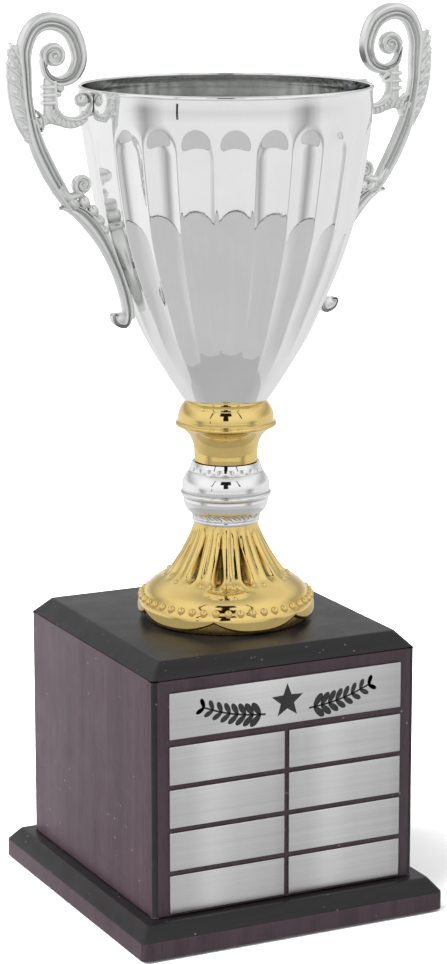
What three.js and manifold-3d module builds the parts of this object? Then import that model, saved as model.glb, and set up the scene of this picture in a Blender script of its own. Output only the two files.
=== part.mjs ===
// A two-handled cup trophy: a fluted silver cup on a gold stem, standing on a hollow wooden block
// with a stepped plinth and a set of engraving plates.
// Millimetres, +Z up, -Y is the side with the plates. The origin is on the table under the middle of the
// cup from side to side and under the middle of the plinth from front to back.
import * as THREE from "three";
import { mergeVertices } from "three/addons/utils/BufferGeometryUtils.js";
import Module from "manifold-3d";

// Clearance between pieces that touch.
const GAP = 0.3;
// How far a cutter or a joined piece runs past the face it meets.
const OVERRUN = 1;

// Wooden base.
const FELT_THICKNESS = 0.9;
const FELT_INSET = 4;
const PLINTH_STEP_SIDE = 10;
const PLINTH_STEP_FRONT = 10.5;
const PLINTH_HEIGHT = 14.2;
const PLINTH_CHAMFER_OUT = 4.8;
const PLINTH_CHAMFER_DOWN = 5.9;
const BLOCK_WIDTH = 127;
const BLOCK_DEPTH = 132;
const WALL_HEIGHT = 105;
const WALL_THICKNESS = 12;
const TOP_CHAMFER_OUT = 6.5;
const TOP_CHAMFER_DOWN = 6.9;
const TOP_PLUG_DEPTH = 6;
// The cup stands a little right of the block's middle and a little forward of it.
const BLOCK_SHIFT_X = -2;
const CUP_SHIFT_Y = -3;

// Engraving plates on the front wall.
const PLATE_THICKNESS = 0.8;
const PLATE_SIDE_MARGIN = 7.5;
const PLATE_TOP_MARGIN = 5.4;
const PLATE_BOTTOM_MARGIN = 1.4;
const HEADER_HEIGHT = 20.4;
const HEADER_SPACE = 3.2;
const NAME_PLATE_ROWS = 4;
const PLATE_SPACE = 2.2;

// Turned stem pieces, from the block up to the cup.
const FOOT_HEIGHT = 43.2;
const FOOT_RADIUS = 39.4;
const STEM_RADIUS = 14.2;
const KNOP_HEIGHT = 27;
const KNOP_RADIUS = 20.2;
const COLLAR_HEIGHT = 26.8;
const COLLAR_RADIUS = 22.4;
const SHELL_WALL = 2.2;
const SHELL_ROOF = 2.4;

// Cup. The cup's side and its flutes are further down, as shares of its height and of its flare.
const CUP_HEIGHT = 138.3;
const CUP_NECK_RADIUS = 18.4;
const RIM_RADIUS = 63.1;
const CUP_WALL = 1.8;
const CUP_FLOOR = 4.6;
const FLUTES = 24;
const FLUTE_DEPTH = 1.7;

// Handles. Their outline is drawn for a cup of the drawn height and a handle of the drawn reach.
const HANDLE_THICKNESS = 6.4;
const HANDLE_REACH = 40.2;
const DRAWN_CUP_HEIGHT = 138.3;
const DRAWN_REACH = 40.2;
const EYE_RADIUS = 4.9;
const VOLUTE_RADIUS = 5.2;
const BALL_RADIUS = 3.5;
const BEAD_RADIUS = 2.2;
const TAIL_JOINT_RADIUS = 2.6;
const CURL_RADIUS = 4.5;
const FAN_INNER_RADIUS = 6.1;
const FAN_OUTER_RADIUS = 12.2;
const FAN_FROM_DEGREES = 198;
const FAN_TO_DEGREES = 388;
const LEAF_LOBES = 8;
const LEAF_LOBE_DEPTH = 0.8;

// Fasteners.
const ROD_RADIUS = 3;
const NUT_ACROSS_FLATS = 10;
const NUT_HEIGHT = 5;
const WASHER_RADIUS = 9;
const WASHER_THICKNESS = 1.6;
const ROD_END = 1.8;
const WOOD_SCREW_RADIUS = 2;
const WOOD_SCREW_HEAD_RADIUS = 4;
const WOOD_SCREW_LENGTH = 32;
const WOOD_SCREW_FROM_CORNER = 24;
const WOOD_SCREW_SLOT_DEPTH = 1.2;
const WOOD_SCREW_SLOT_LENGTH = 4.8;
const WOOD_SCREW_SLOT_WIDTH = 1;
const HANDLE_SCREW_RADIUS = 1.25;
const HANDLE_SCREW_HEAD_RADIUS = 2.3;
const HANDLE_SCREW_HEAD_HEIGHT = 1.6;
const HANDLE_SCREW_BITE = 3.2;
const HANDLE_BOSS_RADIUS = 3.2;
const UPPER_SCREW_DEPTH = 4.4;
const LOWER_SCREW_DEPTH = 77.7;

// Sizes and heights that follow from the ones above.
const plinthWidth = BLOCK_WIDTH + 2 * PLINTH_STEP_SIDE;
const plinthDepth = BLOCK_DEPTH + 2 * PLINTH_STEP_FRONT;
const plinthBottom = FELT_THICKNESS + GAP;
const plinthTop = plinthBottom + PLINTH_HEIGHT;
const wallBottom = plinthTop + GAP;
const wallTop = wallBottom + WALL_HEIGHT;
const topBoardBottom = wallTop + GAP;
const blockTop = topBoardBottom + TOP_CHAMFER_DOWN;
const footBottom = blockTop + GAP;
const knopBottom = footBottom + FOOT_HEIGHT + GAP;
const collarBottom = knopBottom + KNOP_HEIGHT + GAP;
const cupBottom = collarBottom + COLLAR_HEIGHT + GAP;
const rimTop = cupBottom + CUP_HEIGHT;
const cupFloorTop = cupBottom + CUP_FLOOR;
const plugBottom = wallTop - TOP_PLUG_DEPTH;
const boreRadius = ROD_RADIUS + GAP;
const handleRise = CUP_HEIGHT / DRAWN_CUP_HEIGHT;
const handleSpread = HANDLE_REACH / DRAWN_REACH;
const handleScrewHeights = [
  rimTop - UPPER_SCREW_DEPTH * handleRise,
  rimTop - LOWER_SCREW_DEPTH * handleRise,
];

const wasm = await Module();
wasm.setup();

const WOOD = new THREE.MeshStandardMaterial({ color: 0x3a2226, roughness: 0.35, metalness: 0 });
const BLACK_WOOD = new THREE.MeshStandardMaterial({ color: 0x1c1b1d, roughness: 0.3, metalness: 0 });
const FELT = new THREE.MeshStandardMaterial({ color: 0x17181a, roughness: 1, metalness: 0 });
const SILVER = new THREE.MeshStandardMaterial({ color: 0xe8eae8, roughness: 0.08, metalness: 1 });
const CAST_SILVER = new THREE.MeshStandardMaterial({ color: 0xc9cdca, roughness: 0.25, metalness: 1 });
const GOLD = new THREE.MeshStandardMaterial({ color: 0xe9cc7a, roughness: 0.1, metalness: 1 });
const PLATE = new THREE.MeshStandardMaterial({ color: 0xc4c4c6, roughness: 0.35, metalness: 1 });
const STEEL = new THREE.MeshStandardMaterial({ color: 0x9a9ca0, roughness: 0.4, metalness: 1 });

// A closed geometry as a manifold-3d solid.
function solid(geometry) {
  const bare = geometry.clone();
  bare.deleteAttribute("normal");
  bare.deleteAttribute("uv");
  const merged = mergeVertices(bare, 1e-4);
  return new wasm.Manifold(
    new wasm.Mesh({
      numProp: 3,
      vertProperties: merged.attributes.position.array,
      triVerts: new Uint32Array(merged.index.array),
    }),
  );
}

// A manifold-3d solid back as a geometry for a mesh.
function geometryOf(shape) {
  const mesh = shape.getMesh();
  const geometry = new THREE.BufferGeometry();
  geometry.setAttribute("position", new THREE.BufferAttribute(new Float32Array(mesh.vertProperties), 3));
  geometry.setIndex(new THREE.BufferAttribute(new Uint32Array(mesh.triVerts), 1));
  geometry.computeVertexNormals();
  return geometry;
}

function named(name, geometry, material) {
  const mesh = new THREE.Mesh(geometry, material);
  mesh.name = name;
  return mesh;
}

// A body turned about the Z axis from a closed outline of [radius, height] points, listed anticlockwise.
function turned(outline, segments) {
  const points = outline.map(([radius, height]) => new THREE.Vector2(radius, height));
  points.push(points[0].clone());
  const geometry = new THREE.LatheGeometry(points, segments);
  geometry.rotateX(Math.PI / 2);
  return geometry;
}

// A solid round bar along Z with its lower end at the given height.
function bar(radius, bottom, length, segments = 24) {
  const geometry = new THREE.CylinderGeometry(radius, radius, length, segments);
  geometry.rotateX(Math.PI / 2);
  geometry.translate(0, 0, bottom + length / 2);
  return geometry;
}

// A solid round bar along X that starts at the given distance from the cup's axis.
function sideBar(radius, start, length, height, segments = 16) {
  const geometry = new THREE.CylinderGeometry(radius, radius, length, segments);
  geometry.rotateZ(Math.PI / 2);
  geometry.translate(start + length / 2, 0, height);
  return geometry;
}

// A rectangular board whose upper edge is chamfered on all four sides.
function chamferedBoard(width, depth, height, chamferOut, chamferDown, bottom) {
  const half = (w, d) => [
    [-w / 2, -d / 2],
    [w / 2, -d / 2],
    [w / 2, d / 2],
    [-w / 2, d / 2],
  ];
  const rings = [[width, depth, bottom]];
  if (height > chamferDown) {
    rings.push([width, depth, bottom + height - chamferDown]);
  }
  rings.push([width - 2 * chamferOut, depth - 2 * chamferOut, bottom + height]);
  const positions = [];
  const index = [];
  for (const [w, d, z] of rings) {
    for (const [x, y] of half(w, d)) {
      positions.push(x, y, z);
    }
  }
  for (let ring = 0; ring < rings.length - 1; ring += 1) {
    for (let side = 0; side < 4; side += 1) {
      const a = ring * 4 + side;
      const b = ring * 4 + ((side + 1) % 4);
      index.push(a, b, b + 4, a, b + 4, a + 4);
    }
  }
  const last = (rings.length - 1) * 4;
  index.push(0, 2, 1, 0, 3, 2);
  index.push(last, last + 1, last + 2, last, last + 2, last + 3);
  const geometry = new THREE.BufferGeometry();
  geometry.setAttribute("position", new THREE.Float32BufferAttribute(positions, 3));
  geometry.setIndex(index);
  geometry.computeVertexNormals();
  return geometry;
}

// ---------------------------------------------------------------- wooden base

function woodScrewHoles(cutter) {
  const places = [];
  const x = BLOCK_WIDTH / 2 - WALL_THICKNESS / 2;
  const y = BLOCK_DEPTH / 2 - WOOD_SCREW_FROM_CORNER;
  for (const sideX of [-1, 1]) {
    for (const sideY of [-1, 1]) {
      const place = cutter.clone();
      place.translate(sideX * x, sideY * y, 0);
      places.push(place);
    }
  }
  return places;
}

// The outline of a countersunk screw with some clearance all round, from its head at the bottom.
function woodScrewOutline(clearance) {
  const shank = WOOD_SCREW_RADIUS + clearance;
  const head = WOOD_SCREW_HEAD_RADIUS + clearance;
  const headBottom = clearance > 0 ? plinthBottom - GAP : plinthBottom + GAP;
  const coneStart = plinthBottom + 2 * GAP;
  const coneEnd = coneStart + head - shank;
  const tip = plinthBottom + GAP + WOOD_SCREW_LENGTH + clearance;
  return [
    [0, headBottom],
    [head, headBottom],
    [head, coneStart],
    [shank, coneEnd],
    [shank, tip - WOOD_SCREW_RADIUS],
    [0, tip],
  ];
}

function buildPlinth() {
  const board = chamferedBoard(
    plinthWidth,
    plinthDepth,
    PLINTH_HEIGHT,
    PLINTH_CHAMFER_OUT,
    PLINTH_CHAMFER_DOWN,
    plinthBottom,
  );
  let shape = solid(board);
  for (const hole of woodScrewHoles(turned(woodScrewOutline(GAP), 12))) {
    shape = shape.subtract(solid(hole));
  }
  return named("plinth", geometryOf(shape), WOOD);
}

function buildFelt() {
  const width = plinthWidth - 2 * FELT_INSET;
  const depth = plinthDepth - 2 * FELT_INSET;
  const sheet = new THREE.BoxGeometry(width, depth, FELT_THICKNESS);
  sheet.translate(0, 0, FELT_THICKNESS / 2);
  return named("base_felt", sheet, FELT);
}

// A mitred wall: a trapezoid seen from above, whose long side faces out along -Y.
function mitredWall(length, distance) {
  const half = length / 2 - GAP / 2;
  const shape = new THREE.Shape();
  shape.moveTo(-half, -distance);
  shape.lineTo(half, -distance);
  shape.lineTo(half - WALL_THICKNESS, -distance + WALL_THICKNESS);
  shape.lineTo(-half + WALL_THICKNESS, -distance + WALL_THICKNESS);
  const wall = new THREE.ExtrudeGeometry(shape, { depth: WALL_HEIGHT, bevelEnabled: false });
  wall.translate(0, 0, wallBottom);
  return wall;
}

function buildWalls() {
  const screwHoles = woodScrewHoles(turned(woodScrewOutline(GAP), 12)).map(solid);
  const walls = [
    ["wall_front", BLOCK_WIDTH, BLOCK_DEPTH, 0],
    ["wall_right", BLOCK_DEPTH, BLOCK_WIDTH, 1],
    ["wall_back", BLOCK_WIDTH, BLOCK_DEPTH, 2],
    ["wall_left", BLOCK_DEPTH, BLOCK_WIDTH, 3],
  ];
  return walls.map(([name, length, across, quarter]) => {
    const wall = mitredWall(length, across / 2);
    wall.rotateZ((quarter * Math.PI) / 2);
    let shape = solid(wall);
    for (const hole of screwHoles) {
      shape = shape.subtract(hole);
    }
    return named(name, geometryOf(shape), WOOD);
  });
}

// The chamfered top board, with a plug under it that fits inside the four walls.
function buildTopBoard() {
  const slab = chamferedBoard(
    BLOCK_WIDTH,
    BLOCK_DEPTH,
    TOP_CHAMFER_DOWN,
    TOP_CHAMFER_OUT,
    TOP_CHAMFER_DOWN,
    topBoardBottom,
  );
  const plugWidth = BLOCK_WIDTH - 2 * WALL_THICKNESS - 2 * GAP;
  const plugDepth = BLOCK_DEPTH - 2 * WALL_THICKNESS - 2 * GAP;
  const plugHeight = TOP_PLUG_DEPTH + GAP + OVERRUN;
  const plug = new THREE.BoxGeometry(plugWidth, plugDepth, plugHeight);
  plug.translate(0, 0, plugBottom + plugHeight / 2);
  const rodHole = bar(boreRadius, plugBottom - OVERRUN, blockTop - plugBottom + 2 * OVERRUN);
  rodHole.translate(-BLOCK_SHIFT_X, CUP_SHIFT_Y, 0);
  const shape = solid(slab).add(solid(plug)).subtract(solid(rodHole));
  return named("top_board", geometryOf(shape), BLACK_WOOD);
}

function buildWoodScrews() {
  const screw = turned(woodScrewOutline(0), 12);
  let shape = solid(screw);
  for (const turn of [0, Math.PI / 2]) {
    const slot = new THREE.BoxGeometry(
      WOOD_SCREW_SLOT_LENGTH,
      WOOD_SCREW_SLOT_WIDTH,
      2 * WOOD_SCREW_SLOT_DEPTH,
    );
    slot.rotateZ(turn);
    slot.translate(0, 0, plinthBottom + GAP);
    shape = shape.subtract(solid(slot));
  }
  return woodScrewHoles(geometryOf(shape)).map((place, i) => named(`plinth_screw_${i + 1}`, place, STEEL));
}

// ---------------------------------------------------------------- engraving plates

function plate(name, width, height, centreX, bottom) {
  const geometry = new THREE.BoxGeometry(width, PLATE_THICKNESS, height);
  const y = -BLOCK_DEPTH / 2 - GAP - PLATE_THICKNESS / 2;
  geometry.translate(centreX, y, bottom + height / 2);
  return named(name, geometry, PLATE);
}

// A header plate across the front wall and two columns of name plates that fill the room below it.
function buildPlates() {
  const headerWidth = BLOCK_WIDTH - 2 * PLATE_SIDE_MARGIN;
  const headerBottom = wallTop - PLATE_TOP_MARGIN - HEADER_HEIGHT;
  const plates = [plate("header_plate", headerWidth, HEADER_HEIGHT, 0, headerBottom)];
  const nameWidth = (headerWidth - PLATE_SPACE) / 2;
  const columnX = (nameWidth + PLATE_SPACE) / 2;
  const rowsTop = headerBottom - HEADER_SPACE;
  const rowPitch = (rowsTop - wallBottom - PLATE_BOTTOM_MARGIN + PLATE_SPACE) / NAME_PLATE_ROWS;
  const nameHeight = rowPitch - PLATE_SPACE;
  for (let row = 0; row < NAME_PLATE_ROWS; row += 1) {
    const bottom = rowsTop - nameHeight - row * rowPitch;
    for (const side of [-1, 1]) {
      const number = 2 * row + (side < 0 ? 1 : 2);
      plates.push(plate(`name_plate_${number}`, nameWidth, nameHeight, side * columnX, bottom));
    }
  }
  return plates;
}

// ---------------------------------------------------------------- stem

// A hollow turned shell, open below, with a roof that the tie rod passes through. Each point of its
// outside is [radius, share of the height].
function stemShell(outside, height, bottom, segments) {
  const outer = outside.map(([radius, share]) => [radius, bottom + share * height]);
  const roofBottom = bottom + height - SHELL_ROOF;
  const inner = outer
    .filter(([, z], i) => z < roofBottom - OVERRUN && (i === 0 || i % 2 === 1))
    .map(([radius, z]) => [radius - SHELL_WALL, z])
    .reverse();
  const top = bottom + height;
  const innerTopRadius = inner[0][0];
  return turned(
    [...outer, [boreRadius, top], [boreRadius, roofBottom], [innerTopRadius, roofBottom], ...inner],
    segments,
  );
}

// Foot: a plain band, a swelling dome and a long bell that narrows to the stem.
function buildFoot() {
  const r = (share) => STEM_RADIUS + share * (FOOT_RADIUS - STEM_RADIUS);
  const outside = [
    [r(0.94), 0],
    [r(0.94), 0.1],
    [r(1), 0.14],
    [r(0.99), 0.2],
    [r(0.92), 0.28],
    [r(0.78), 0.375],
    [r(0.58), 0.455],
    [r(0.39), 0.54],
    [r(0.25), 0.665],
    [r(0.1), 0.8],
    [r(0.02), 0.92],
    [r(0), 1],
  ];
  return named("foot", stemShell(outside, FOOT_HEIGHT, footBottom, 32), GOLD);
}

// Knop: an egg shape with a raised ring round its middle.
function buildKnop() {
  const r = (share) => STEM_RADIUS + share * (KNOP_RADIUS - STEM_RADIUS);
  const outside = [
    [r(0), 0],
    [r(0.08), 0.065],
    [r(0.54), 0.19],
    [r(0.73), 0.4],
    [r(1), 0.47],
    [r(0.93), 0.53],
    [r(0.6), 0.78],
    [r(0.45), 0.87],
    [r(0), 1],
  ];
  return named("knop", stemShell(outside, KNOP_HEIGHT, knopBottom, 24), SILVER);
}

// Collar: a straight neck that flares into a flange and a cushion under the cup.
function buildCollar() {
  const r = (share) => STEM_RADIUS + share * (COLLAR_RADIUS - STEM_RADIUS);
  const outside = [
    [r(-0.03), 0],
    [r(0.03), 0.27],
    [r(0.24), 0.4],
    [r(0.5), 0.47],
    [r(0.83), 0.535],
    [r(1), 0.6],
    [r(1), 0.67],
    [r(0.84), 0.74],
    [r(0.8), 0.81],
    [r(0.5), 1],
  ];
  return named("collar", stemShell(outside, COLLAR_HEIGHT, collarBottom, 24), GOLD);
}

// ---------------------------------------------------------------- cup

// The cup's side, as [share of the way from the neck's radius to the rim's, share of its height].
const CUP_SIDE = [
  [0, 0],
  [0.036, 0.017],
  [0.192, 0.095],
  [0.383, 0.199],
  [0.53, 0.302],
  [0.669, 0.406],
  [0.783, 0.507],
  [0.868, 0.608],
  [0.95, 0.76],
  [1.0, 0.882],
  [1.018, 0.947],
  [1, 1],
];
const FLUTE_TOP = 0.91;
const FLUTE_FULL_BELOW = 0.87;
const FLUTE_FULL_ABOVE = 0.4;
const FLUTE_END = 0.1;

// The radius of the cup's outside at a share of its height, on a ridge between two flutes.
function sideRadius(share) {
  const next = Math.max(
    1,
    CUP_SIDE.findIndex(([, h]) => h >= share),
  );
  const [fromRadius, fromHeight] = CUP_SIDE[next - 1];
  const [toRadius, toHeight] = CUP_SIDE[next];
  const radius = THREE.MathUtils.mapLinear(share, fromHeight, toHeight, fromRadius, toRadius);
  return THREE.MathUtils.lerp(CUP_NECK_RADIUS, RIM_RADIUS, radius);
}

function wallRadius(z) {
  return sideRadius(THREE.MathUtils.clamp((z - cupBottom) / CUP_HEIGHT, 0, 1));
}

// How deep the flutes are pressed in at a height.
function fluteDepth(z) {
  const share = (z - cupBottom) / CUP_HEIGHT;
  const top = 1 - THREE.MathUtils.smoothstep(share, FLUTE_FULL_BELOW, FLUTE_TOP);
  const foot = THREE.MathUtils.smoothstep(share, FLUTE_END, FLUTE_FULL_ABOVE);
  return FLUTE_DEPTH * top * foot;
}

// Presses the flutes into a turned shell: two of every three facets' edges move in, one stays as a ridge.
function pressFlutes(geometry) {
  const place = geometry.attributes.position;
  for (let i = 0; i < place.count; i += 1) {
    const x = place.getX(i);
    const y = place.getY(i);
    const z = place.getZ(i);
    const turns = (Math.atan2(y, x) / (2 * Math.PI)) * FLUTES;
    const fromRidge = Math.abs(turns - Math.round(turns));
    if (fromRidge > 0.1) {
      const radius = Math.hypot(x, y);
      const scale = (radius - fluteDepth(z)) / radius;
      place.setXY(i, x * scale, y * scale);
    }
  }
  return geometry;
}

// The distance from the cup's axis to the flat inner end of the boss behind a handle screw.
function screwSeat(z) {
  const lowest = Math.min(
    wallRadius(z - HANDLE_BOSS_RADIUS),
    wallRadius(z + HANDLE_BOSS_RADIUS),
    wallRadius(z),
  );
  return lowest - CUP_WALL - fluteDepth(z) - GAP;
}

function buildCup() {
  const shares = CUP_SIDE.map(([, share]) => share);
  const outerShares = [...shares, FLUTE_TOP, FLUTE_FULL_BELOW].sort((a, b) => a - b);
  const innerShares = outerShares.filter((share) => share * CUP_HEIGHT > CUP_FLOOR + OVERRUN).reverse();
  const floorRadius = wallRadius(cupFloorTop) - CUP_WALL;
  const outline = [
    ...outerShares.map((share) => [sideRadius(share), cupBottom + share * CUP_HEIGHT]),
    ...innerShares.map((share) => [sideRadius(share) - CUP_WALL, cupBottom + share * CUP_HEIGHT]),
    [floorRadius, cupFloorTop],
    [boreRadius, cupFloorTop],
    [boreRadius, cupBottom],
  ];
  let shape = solid(pressFlutes(turned(outline, 3 * FLUTES)));
  for (const height of handleScrewHeights) {
    const seat = screwSeat(height);
    const boss = sideBar(HANDLE_BOSS_RADIUS, seat, wallRadius(height) - CUP_WALL / 2 - seat, height);
    const holeLength = wallRadius(height) - seat + 4 * OVERRUN;
    const hole = sideBar(HANDLE_SCREW_RADIUS + GAP, seat - OVERRUN, holeLength, height);
    for (let side = 0; side < 2; side += 1) {
      shape = shape.add(solid(boss)).subtract(solid(hole));
      boss.rotateZ(Math.PI);
      hole.rotateZ(Math.PI);
    }
  }
  return named("cup", geometryOf(shape), SILVER);
}

// ---------------------------------------------------------------- handles

// Points of the handle are given as a distance beyond the rim and a height above the rim. Heights
// follow the cup's own height, and distances the handle's reach.
function fromRim(out, up) {
  return new THREE.Vector2(RIM_RADIUS + out * handleSpread, rimTop + up * handleRise);
}

// The lower part hugs the cup, so its points are given as a distance beyond the wall at their own height.
function fromWall(out, up) {
  const z = rimTop + up * handleRise;
  return new THREE.Vector2(wallRadius(z) + out * handleSpread, z);
}

// A flat piece of the handle, as thick as the handle and centred on its plane.
function slab(shape) {
  const geometry = new THREE.ExtrudeGeometry(shape, { depth: HANDLE_THICKNESS, bevelEnabled: false });
  geometry.translate(0, 0, -HANDLE_THICKNESS / 2);
  geometry.rotateX(Math.PI / 2);
  return geometry;
}

// A band of changing width along a smooth line of points.
function band(points, widths, steps) {
  const line = new THREE.SplineCurve(points);
  const left = [];
  const right = [];
  for (let i = 0; i <= steps; i += 1) {
    const t = i / steps;
    const along = line.getTangent(t);
    const across = new THREE.Vector2(-along.y, along.x);
    const slot = t * (widths.length - 1);
    const from = Math.min(Math.floor(slot), widths.length - 2);
    const half = THREE.MathUtils.lerp(widths[from], widths[from + 1], slot - from) / 2;
    const centre = line.getPoint(t);
    left.push(centre.clone().addScaledVector(across, half));
    right.push(centre.clone().addScaledVector(across, -half));
  }
  return slab(new THREE.Shape([...right, ...left.reverse()]));
}

function disc(centre, radius) {
  const shape = new THREE.Shape();
  shape.absarc(centre.x, centre.y, radius, 0, 2 * Math.PI, false);
  const geometry = new THREE.ExtrudeGeometry(shape, {
    depth: HANDLE_THICKNESS,
    bevelEnabled: false,
    curveSegments: 8,
  });
  geometry.translate(0, 0, -HANDLE_THICKNESS / 2);
  geometry.rotateX(Math.PI / 2);
  return geometry;
}

// Stem and scroll in one band: up from the tail, over the top and round into the eye.
function crook() {
  const points = [
    fromRim(12.6, -46.5),
    fromRim(19.4, -35.5),
    fromRim(26.4, -20.5),
    fromRim(30.3, -6),
    fromRim(31.6, 8),
    fromRim(31.2, 20),
    fromRim(26.2, 27.2),
    fromRim(18.2, 29.4),
    fromRim(9.6, 25),
    fromRim(5.6, 14.4),
    fromRim(8.2, 6.6),
    fromRim(14.4, 3.8),
    fromRim(21.2, 8.2),
    fromRim(20.4, 15),
  ];
  const widths = [7, 7, 7.4, 7.6, 7.8, 7.8, 7.2, 6.8, 7.2, 7.8, 6.8, 6, 5.2, 4];
  return band(points, widths, 34);
}

// Leaf on the outer side of the stem, its edge in rounded lobes.
function leaf() {
  const line = new THREE.SplineCurve([
    fromRim(35, 21.6),
    fromRim(39.2, 14),
    fromRim(39.4, 5),
    fromRim(37.8, -6),
    fromRim(32.4, -19),
  ]);
  const edge = [];
  for (let i = 0; i < LEAF_LOBES; i += 1) {
    edge.push(line.getPoint(i / LEAF_LOBES));
    const middle = line.getPoint((i + 0.4) / LEAF_LOBES);
    middle.x += LEAF_LOBE_DEPTH;
    edge.push(middle);
  }
  const back = [fromRim(28, -19), fromRim(31.4, 4), fromRim(31, 20)];
  return slab(new THREE.Shape([...edge, ...back].reverse()));
}

// Bracket: a column under the scroll, a ribbed ring that bears on the cup and an arm to the stem.
function bracket() {
  const centre = fromRim(9.3, -5.6);
  const arc = new THREE.Shape();
  const from = THREE.MathUtils.degToRad(FAN_FROM_DEGREES);
  const to = THREE.MathUtils.degToRad(FAN_TO_DEGREES);
  arc.absarc(centre.x, centre.y, FAN_OUTER_RADIUS, from, to, false);
  arc.absarc(centre.x, centre.y, FAN_INNER_RADIUS, to, from, true);
  const ring = new THREE.ExtrudeGeometry(arc, {
    depth: HANDLE_THICKNESS,
    bevelEnabled: false,
    curveSegments: 9,
  });
  ring.translate(0, 0, -HANDLE_THICKNESS / 2);
  ring.rotateX(Math.PI / 2);
  const column = band([fromRim(19.4, -13), fromRim(20, -5), fromRim(19.6, 5)], [5, 4.8, 5.4], 4);
  const arm = band([fromRim(15, -13), fromRim(20.4, -12.4), fromRim(26.5, -14)], [6, 5.5, 6], 6);
  return [ring, column, arm];
}

// Tail: a pointed leaf tip that sweeps down the cup's side and ends in an outward curl.
function tail() {
  const outer = new THREE.SplineCurve([
    fromWall(20.2, -49.8),
    fromWall(15.6, -51.6),
    fromWall(10.2, -56.2),
    fromWall(4.6, -66.5),
    fromWall(4.4, -79.5),
    fromWall(5, -91),
    fromWall(7.6, -95.5),
  ]);
  const inner = new THREE.SplineCurve([
    fromWall(3.4, -98),
    fromWall(0.4, -91),
    fromWall(-1, -84),
    fromWall(-1, -72),
    fromWall(-1, -62),
    fromWall(3, -55),
    fromWall(8, -50.2),
    fromWall(16, -46.8),
  ]);
  return slab(new THREE.Shape([...outer.getPoints(12), ...inner.getPoints(10)].reverse()));
}

// A row of beads between the volute and the tail's plain inner band.
function beads() {
  const places = [fromWall(8.2, -48.6), fromWall(5, -52), fromWall(3, -55.9), fromWall(2.4, -60)];
  return places.map((place) => disc(place, BEAD_RADIUS));
}

// The space that the cup takes up, with the clearance that the handle keeps from it.
function cupEnvelope() {
  const side = CUP_SIDE.map(([, share]) => [sideRadius(share) + GAP, cupBottom + share * CUP_HEIGHT]);
  return solid(turned([[0, cupBottom], ...side, [0, rimTop]], 3 * FLUTES));
}

// The ball that bears on the cup behind the upper screw, with a neck that ties it to the ribbed ring.
function ball() {
  const centre = fromRim(4.6, -UPPER_SCREW_DEPTH);
  const geometry = new THREE.SphereGeometry(BALL_RADIUS, 12, 8);
  geometry.translate(centre.x, 0, centre.y);
  const ringStart = fromRim(9.3, -5.6).add(new THREE.Vector2(-8.2, -4));
  return [geometry, band([centre, ringStart], [4, 3], 2)];
}

function buildHandle() {
  const pieces = [
    leaf(),
    ...bracket(),
    ...ball(),
    tail(),
    ...beads(),
    disc(fromRim(12.6, -48.3), TAIL_JOINT_RADIUS),
    disc(fromRim(17.4, 14.2), EYE_RADIUS),
    disc(fromRim(4.8, -39.9), VOLUTE_RADIUS),
    band([fromRim(14, -44), fromRim(9.5, -44), fromRim(5.5, -42)], [6, 5.4, 5], 4),
    disc(fromWall(9, -99.4), CURL_RADIUS),
  ];
  let shape = solid(crook());
  for (const piece of pieces) {
    shape = shape.add(solid(piece));
  }
  shape = shape.subtract(cupEnvelope());
  for (const height of handleScrewHeights) {
    const start = wallRadius(height) - OVERRUN;
    const length = OVERRUN + 2 * GAP + HANDLE_SCREW_BITE;
    shape = shape.subtract(solid(sideBar(HANDLE_SCREW_RADIUS + GAP, start, length, height)));
  }
  return shape;
}

function buildHandles() {
  const right = geometryOf(buildHandle());
  const left = right.clone().rotateZ(Math.PI);
  return [named("handle_right", right, CAST_SILVER), named("handle_left", left, CAST_SILVER)];
}

// ---------------------------------------------------------------- fasteners

function washer(name, bottom) {
  const top = bottom + WASHER_THICKNESS;
  const outline = [
    [boreRadius, bottom],
    [WASHER_RADIUS, bottom],
    [WASHER_RADIUS, top],
    [boreRadius, top],
  ];
  return named(name, turned(outline, 24), STEEL);
}

function nut(name, bottom) {
  const blank = bar(NUT_ACROSS_FLATS / Math.sqrt(3), bottom, NUT_HEIGHT, 6);
  const hole = bar(boreRadius, bottom - OVERRUN, NUT_HEIGHT + 2 * OVERRUN);
  return named(name, geometryOf(solid(blank).subtract(solid(hole))), STEEL);
}

// The threaded rod that clamps cup, stem pieces and top board together, with a washer and nut at each end.
function buildTieRod() {
  const baseWasher = plugBottom - GAP - WASHER_THICKNESS;
  const baseNut = baseWasher - GAP - NUT_HEIGHT;
  const cupWasher = cupFloorTop + GAP;
  const cupNut = cupWasher + WASHER_THICKNESS + GAP;
  const rodBottom = baseNut - ROD_END;
  const rodLength = cupNut + NUT_HEIGHT + ROD_END - rodBottom;
  return [
    named("tie_rod", bar(ROD_RADIUS, rodBottom, rodLength, 20), STEEL),
    washer("base_washer", baseWasher),
    nut("base_nut", baseNut),
    washer("cup_washer", cupWasher),
    nut("cup_nut", cupNut),
  ];
}

// Small pan-head screws from inside the cup into the handles, two for each handle.
function buildHandleScrews() {
  const screws = [];
  for (const [side, turn] of [
    ["right", 0],
    ["left", Math.PI],
  ]) {
    handleScrewHeights.forEach((height, i) => {
      const seat = screwSeat(height) - GAP;
      const tip = wallRadius(height) + GAP + HANDLE_SCREW_BITE;
      const headStart = seat - HANDLE_SCREW_HEAD_HEIGHT;
      const head = sideBar(HANDLE_SCREW_HEAD_RADIUS, headStart, HANDLE_SCREW_HEAD_HEIGHT, height, 12);
      const shankStart = headStart + HANDLE_SCREW_HEAD_HEIGHT / 2;
      const shank = sideBar(HANDLE_SCREW_RADIUS, shankStart, tip - shankStart, height, 12);
      const geometry = geometryOf(solid(head).add(solid(shank)));
      geometry.rotateZ(turn);
      const place = i === 0 ? "upper" : "lower";
      screws.push(named(`handle_screw_${side}_${place}`, geometry, STEEL));
    });
  }
  return screws;
}

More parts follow.
